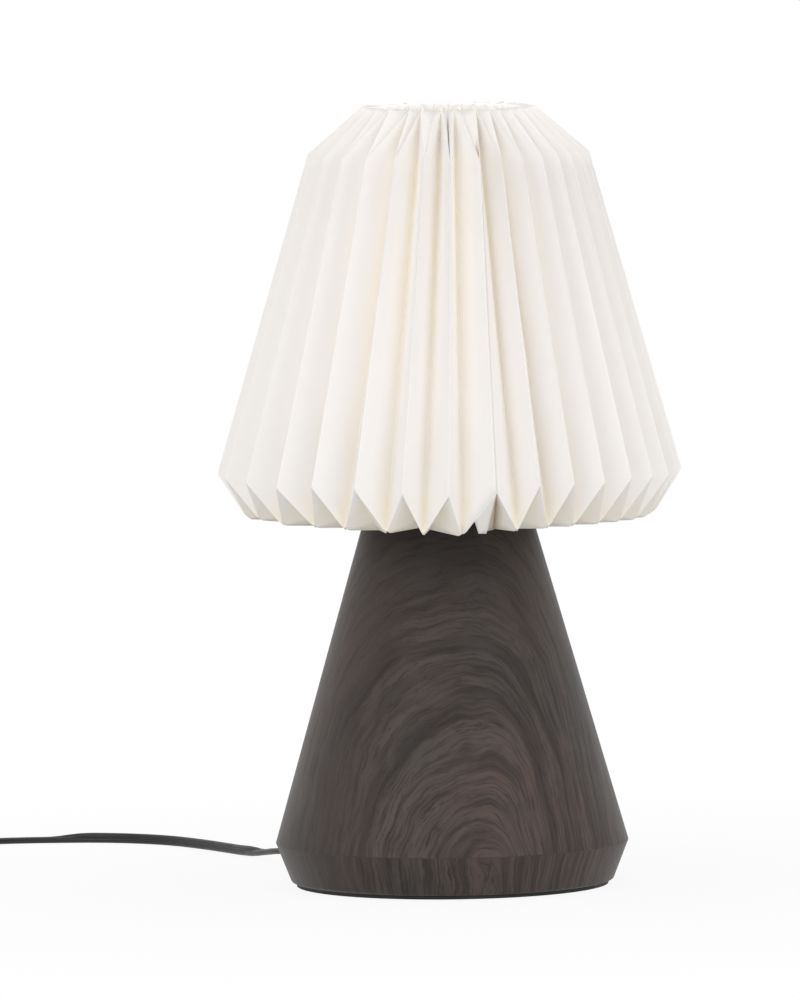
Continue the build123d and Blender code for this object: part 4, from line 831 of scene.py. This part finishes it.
class LAMP_OT_fold_shade(bpy.types.Operator):
    """Fold the paper shade"""

    bl_idname = "lamp.fold_shade"
    bl_label = "Fold shade"

    def execute(self, context):
        sheet = context.scene.lamp_shade
        folded = FoldedSheet(sheet)
        for ridge in range(sheet.pleats):
            folded.half_pleat(ridge, -1)
            folded.half_pleat(ridge, 1)
        shade = add_mesh(
            "folded_shade", folded.points, folded.faces, paper_finish(sheet), "shade"
        )
        for name, values in (("fold", folded.fold), ("seam", folded.seam)):
            shade.data.attributes.new(name, "FLOAT", "POINT").data.foreach_set("value", values)
        shade.data.shade_smooth()
        shade.data.set_sharp_from_angle(angle=SHEET_SHARP)
        thick = shade.modifiers.new("Paper", "SOLIDIFY")
        thick.thickness = sheet.thickness
        thick.offset = -1.0
        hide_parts("pleated_shade")
        return {"FINISHED"}


def coil_points():
    """Middle line of the coil: in on the lower layer, out again on the upper."""
    whole = 2.0 * math.pi * COIL_TURNS
    points = []
    for step in range(COIL_TURNS * COIL_STEPS + 1):
        turned = whole * step / (COIL_TURNS * COIL_STEPS)
        wound = min(turned, whole - turned)
        radius = COIL_RADIUS - COIL_PITCH * wound / (2.0 * math.pi)
        climb = unit((turned - whole / 2.0 + math.pi / 2.0) / math.pi)
        x = COIL_CENTRE[0] + radius * math.cos(turned)
        y = COIL_CENTRE[1] - radius * math.sin(turned)
        points.append((x, y, COIL_FLOOR + COIL_LAYER * climb))
    return points


def smooth_line(name, route):
    """Points along the smooth line that a route steers."""
    line = bpy.data.curves.new(name, "CURVE")
    line.dimensions = "3D"
    spline = line.splines.new("NURBS")
    spline.points.add(len(route) - 1)
    for point, place in zip(spline.points, route):
        point.co = (*place, 1.0)
    spline.order_u = 3
    spline.use_endpoint_u = True
    spline.resolution_u = 8
    holder = add_object(name, line)
    bpy.context.view_layer.update()
    mesh = bpy.data.meshes.new_from_object(holder)
    path = [vertex.co.copy() for vertex in mesh.vertices]
    bpy.data.objects.remove(holder)
    bpy.data.meshes.remove(mesh)
    bpy.data.curves.remove(line)
    return path


def lead_section(lead):
    """Outline of the flat twin lead: two round cores side by side with a groove between them."""
    core = lead.thickness / 2.0
    apart = lead.width / 2.0 - core
    outline = []
    for step in range(LEAD_SIDES):
        turn = 2.0 * math.pi * step / LEAD_SIDES
        reach = apart * abs(math.cos(turn)) + math.sqrt(core**2 - (apart * math.sin(turn)) ** 2)
        outline.append((reach * math.cos(turn), reach * math.sin(turn)))
    return outline


def lead_tube(name, path, lead, flatness, material):
    """A flat lead along a path. Flatness says, for a length from its start, 0 on edge to 1 lying flat."""
    outline = lead_section(lead)
    points = []
    faces = []
    gone = 0.0
    for index, place in enumerate(path):
        before = path[max(index - 1, 0)]
        after = path[min(index + 1, len(path) - 1)]
        along = (after - before).normalized()
        gone += (place - before).length
        level = along.cross(Vector((0.0, 0.0, 1.0))).normalized()
        upright = level.cross(along)
        lean = flatness(gone) * math.pi / 2.0
        broad = upright * math.cos(lean) + level * math.sin(lean)
        thin = broad.cross(along)
        low = unit((lead.width - place.z) / (lead.width - LEAD_FLOOR))
        sunk = Vector((0.0, 0.0, low * (1.0 - math.cos(lean)) * (lead.width - lead.thickness) / 2.0))
        for wide, deep in outline:
            points.append(place - sunk + broad * wide + thin * deep)
    for ring in range(len(path) - 1):
        here = ring * LEAD_SIDES
        there = here + LEAD_SIDES
        for step in range(LEAD_SIDES):
            following = (step + 1) % LEAD_SIDES
            faces.append((here + step, here + following, there + following, there + step))
    faces.append(tuple(range(LEAD_SIDES))[::-1])
    faces.append(tuple(range(len(points) - LEAD_SIDES, len(points))))
    tube = add_mesh(name, points, faces, material, "lamp")
    tube.data.shade_smooth()
    tube.data.set_sharp_from_angle(angle=LEAD_SHARP)
    return tube


class LAMP_OT_lay_leads(bpy.types.Operator):
    """Lay the flat lead from the base to the switch and on to the coil and plug"""

    bl_idname = "lamp.lay_leads"
    bl_label = "Lay leads"

    def execute(self, context):
        lead = context.scene.lamp_lead
        sheath = plastic_finish("lead_black", lead.sheath, 0.36, 0.06, 3200.0, 0.08)

        def base_lie(gone):
            """Flat at the base, on its edge, flat again, and on its edge into the switch."""
            leaving = unit((lead.flat_until + TWIST_AWAY - gone) / TWIST_AWAY)
            lying = unit((gone - lead.flat_from) / TWIST_AGAIN)
            standing = unit((gone - lead.flat_from - LIES_FLAT) / TWIST_AGAIN)
            share = max(leaving, lying - standing)
            return share * share * (3.0 - 2.0 * share)

        first_path = smooth_line("lead_line", LEAD_ROUTE)
        first = lead_tube("lead_to_switch", first_path, lead, base_lie, sheath)
        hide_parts("cord_lead")
        second_path = smooth_line("coil_line", (*RUN_ROUTE[:-1], *coil_points(), *TAIL_ROUTE[1:]))
        second = lead_tube("lead_to_plug", second_path, lead, lambda gone: 0.0, sheath)
        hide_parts("cord_run", "cord_coil", "cord_tail")
        dress(sheath, "inner_cord")
        return {"FINISHED"}


class LAMP_OT_stain_base(bpy.types.Operator):
    """Stain the turned base and finish the pad under it"""

    bl_idname = "lamp.stain_base"
    bl_label = "Stain base"

    def execute(self, context):
        fittings = context.scene.lamp_fittings
        dress(wood_finish(context.scene.lamp_base), "base_body")
        dress(plastic_finish("pad_black", fittings.rubber, 0.72, 0.02, 1400.0, 0.3), "base_pad")
        return {"FINISHED"}


class LAMP_OT_fit_holder(bpy.types.Operator):
    """Finish the lampholder, the tube and the small steel parts"""

    bl_idname = "lamp.fit_holder"
    bl_label = "Fit lampholder"

    def execute(self, context):
        fittings = context.scene.lamp_fittings
        moulded = plastic_finish("holder_black", fittings.holder, 0.34, 0.12)
        dress(moulded, "holder_cap", "holder_body", "shade_ring")
        dress(plastic_finish("insert_white", fittings.insert, 0.4, 0.05), "holder_insert")
        # The brass screws, terminals and bulb tip keep the plain brass they have in model.glb.
        dress(metal_finish("contact_brass", fittings.brass, 0.3, 0.5), "centre_contact", "side_contact")
        steel = metal_finish("zinc_steel", fittings.steel, 0.36, 0.35)
        dress(steel, "stem_tube", "tube_washer", "tube_nut", "seat_washer", "lock_nut", "stop_screws")
        dress(steel, "switch_screws", "switch_pivot")
        return {"FINISHED"}


class LAMP_OT_paint_carrier(bpy.types.Operator):
    """Paint the wire carrier that holds the shade"""

    bl_idname = "lamp.paint_carrier"
    bl_label = "Paint carrier"

    def execute(self, context):
        paint = plastic_finish("carrier_white", context.scene.lamp_fittings.wire, 0.32, 0.15, 1500.0, 0.06)
        dress(paint, "carrier_hub", "carrier_arms", "carrier_ring")
        return {"FINISHED"}


class LAMP_OT_screw_bulb(bpy.types.Operator):
    """Finish the bulb, and the plug's pins in the nickel of its cap"""

    bl_idname = "lamp.screw_bulb"
    bl_label = "Screw in bulb"

    def execute(self, context):
        fittings = context.scene.lamp_fittings
        dress(glass_finish(fittings.opal), "bulb_globe")
        dress(metal_finish("bulb_nickel", fittings.nickel, 0.22, 0.2), "bulb_cap", "plug_pins")
        dress(plastic_finish("bulb_black_glass", BLACK_GLASS, 0.14, 0.0), "bulb_insulator")
        return {"FINISHED"}


class LAMP_OT_finish_fittings(bpy.types.Operator):
    """Finish the inline switch, the plug, the bush, the cord stop and the tie"""

    bl_idname = "lamp.finish_fittings"
    bl_label = "Finish switch and plug"

    def execute(self, context):
        tint = context.scene.lamp_fittings.plastic
        shell = plastic_finish("fitting_black", tint, 0.42, 0.08)
        dress(shell, "cord_bush", "stop_lower", "stop_upper", "switch_base", "switch_cover")
        dress(shell, "switch_rocker", "coil_tie", "plug_relief", "plug_body")
        dress(plastic_finish("sleeve_black", tint, 0.24, 0.04), "plug_sleeves")
        return {"FINISHED"}


def open_sky(studio):
    """Even light all round that is weaker from straight above, seen as plain white."""
    world = bpy.data.worlds.new("Studio")
    world.use_nodes = True
    bpy.context.scene.world = world
    nodes = Nodes(world.node_tree)
    seen = nodes.fill(world.node_tree.nodes["Background"], Color=WHITE, Strength=1.0)[0]
    height = nodes.split(nodes.add("TexCoord").outputs["Generated"])[2]
    strength = nodes.ramp(height, 0.45, 1.0, studio.sky, studio.zenith)
    lit = nodes.fill(nodes.add("Background"), Color=SKY_TINT, Strength=strength)[0]
    blend = nodes.wire(nodes.add("MixShader"), plainly_seen(nodes), lit, seen)[0]
    nodes.feed(world.node_tree.nodes["World Output"].inputs["Surface"], blend)


def plainly_seen(nodes):
    """1 for rays from the camera, and those that mirror or pass through glass."""
    rays = nodes.add("LightPath").outputs
    seen = nodes.math("MAXIMUM", rays["Is Camera Ray"], rays["Is Glossy Ray"])
    return nodes.math("MAXIMUM", seen, rays["Is Transmission Ray"])


def lay_floor(studio):
    """Pale floor that turns plain white away from the lamp and keeps a soft shadow near it."""
    sides = ((-1, -1), (1, -1), (1, 1), (-1, 1))
    corners = [(x * FLOOR_REACH, y * FLOOR_REACH, -FLOOR_DROP) for x, y in sides]
    mesh = bpy.data.meshes.new("floor")
    mesh.from_pydata(corners, [], [(0, 1, 2, 3)])
    floor = add_object("floor", mesh)
    pale = Finish("floor_pale")
    pale.set(Base_Color=studio.floor, Roughness=0.9, Specular_IOR_Level=0.0)
    glow = pale.fill(pale.add("Emission"), Color=WHITE, Strength=1.0)[0]
    away = pale.vector("LENGTH", pale.place)
    share = pale.times(plainly_seen(pale), pale.ramp(away, 0.1, 0.6, 0.9, 1.0))
    blend = pale.wire(pale.add("MixShader"), share, pale.shader.outputs[0], glow)[0]
    pale.feed(pale.tree.nodes["Material Output"].inputs["Surface"], blend)
    mesh.materials.append(pale.material)


def hang_lamp(name, place, power):
    """A square soft lamp that faces the shade."""
    light = bpy.data.lights.new(name, "AREA")
    light.shape = "SQUARE"
    light.size = LAMP_SIZE
    light.energy = power
    lamp = add_object(name, light)
    lamp.location = place
    lamp.rotation_mode = "QUATERNION"
    lamp.rotation_quaternion = (Vector(LAMP_TARGET) - Vector(place)).to_track_quat("-Z", "Y")


def place_camera(studio):
    """Camera far in front of the lamp, a little above it and a little rolled."""
    camera = bpy.data.cameras.new("camera")
    camera.sensor_width = 36.0
    camera.lens = camera.sensor_width * studio.distance / studio.picture_height
    camera.clip_start = 0.1
    camera.clip_end = 100.0
    holder = add_object("camera", camera)
    back = Vector((0.0, -math.cos(studio.elevation), math.sin(studio.elevation)))
    holder.location = Vector((studio.aim_x, 0.0, studio.aim_z)) + back * studio.distance
    holder.rotation_mode = "QUATERNION"
    level = (-back).to_track_quat("-Z", "Y")
    holder.rotation_quaternion = level @ Quaternion((0.0, 0.0, 1.0), studio.roll)
    bpy.context.scene.camera = holder


class LAMP_OT_set_stage(bpy.types.Operator):
    """Set up the floor, the light and the camera"""

    bl_idname = "lamp.set_stage"
    bl_label = "Set stage"

    def execute(self, context):
        studio = context.scene.lamp_studio
        context.scene.view_settings.view_transform = "Standard"
        open_sky(studio)
        lay_floor(studio)
        hang_lamp("key_lamp", KEY_PLACE, studio.key)
        hang_lamp("fill_lamp", FILL_PLACE, studio.fill)
        place_camera(studio)
        return {"FINISHED"}


STEPS = (
    LAMP_OT_set_stage,
    LAMP_OT_lay_leads,
    LAMP_OT_fold_shade,
    LAMP_OT_stain_base,
    LAMP_OT_fit_holder,
    LAMP_OT_paint_carrier,
    LAMP_OT_screw_bulb,
    LAMP_OT_finish_fittings,
)
GROUPS = {
    "lamp_shade": LampShadeSheet,
    "lamp_base": LampTurnedBase,
    "lamp_lead": LampLead,
    "lamp_fittings": LampFittings,
    "lamp_studio": LampStudio,
}


class LAMP_PT_pieces(bpy.types.Panel):
    """Buttons for the lamp's steps, with their settings"""

    bl_label = "Pleated lamp"
    bl_idname = "LAMP_PT_pieces"
    bl_space_type = "VIEW_3D"
    bl_region_type = "UI"
    bl_category = "Lamp"

    def draw(self, context):
        for step in STEPS:
            self.layout.operator(step.bl_idname)
        for name, group in GROUPS.items():
            box = self.layout.box()
            box.label(text=group.__doc__)
            for value in group.__annotations__:
                box.prop(getattr(context.scene, name), value)


def register():
    """Register the settings, the steps and the panel."""
    for name, group in GROUPS.items():
        bpy.utils.register_class(group)
        setattr(bpy.types.Scene, name, PointerProperty(type=group))
    for step in STEPS:
        bpy.utils.register_class(step)
    bpy.utils.register_class(LAMP_PT_pieces)


def unregister():
    """Take the panel, the steps and the settings away again."""
    bpy.utils.unregister_class(LAMP_PT_pieces)
    for step in reversed(STEPS):
        bpy.utils.unregister_class(step)
    for name, group in GROUPS.items():
        delattr(bpy.types.Scene, name)
        bpy.utils.unregister_class(group)


def main():
    """Make and dress every piece."""
    register()
    bpy.ops.lamp.set_stage()
    bpy.ops.lamp.lay_leads()
    bpy.ops.lamp.fold_shade()
    bpy.ops.lamp.stain_base()
    bpy.ops.lamp.fit_holder()
    bpy.ops.lamp.paint_carrier()
    bpy.ops.lamp.screw_bulb()
    bpy.ops.lamp.finish_fittings()


if __name__ == "__main__":
    main()
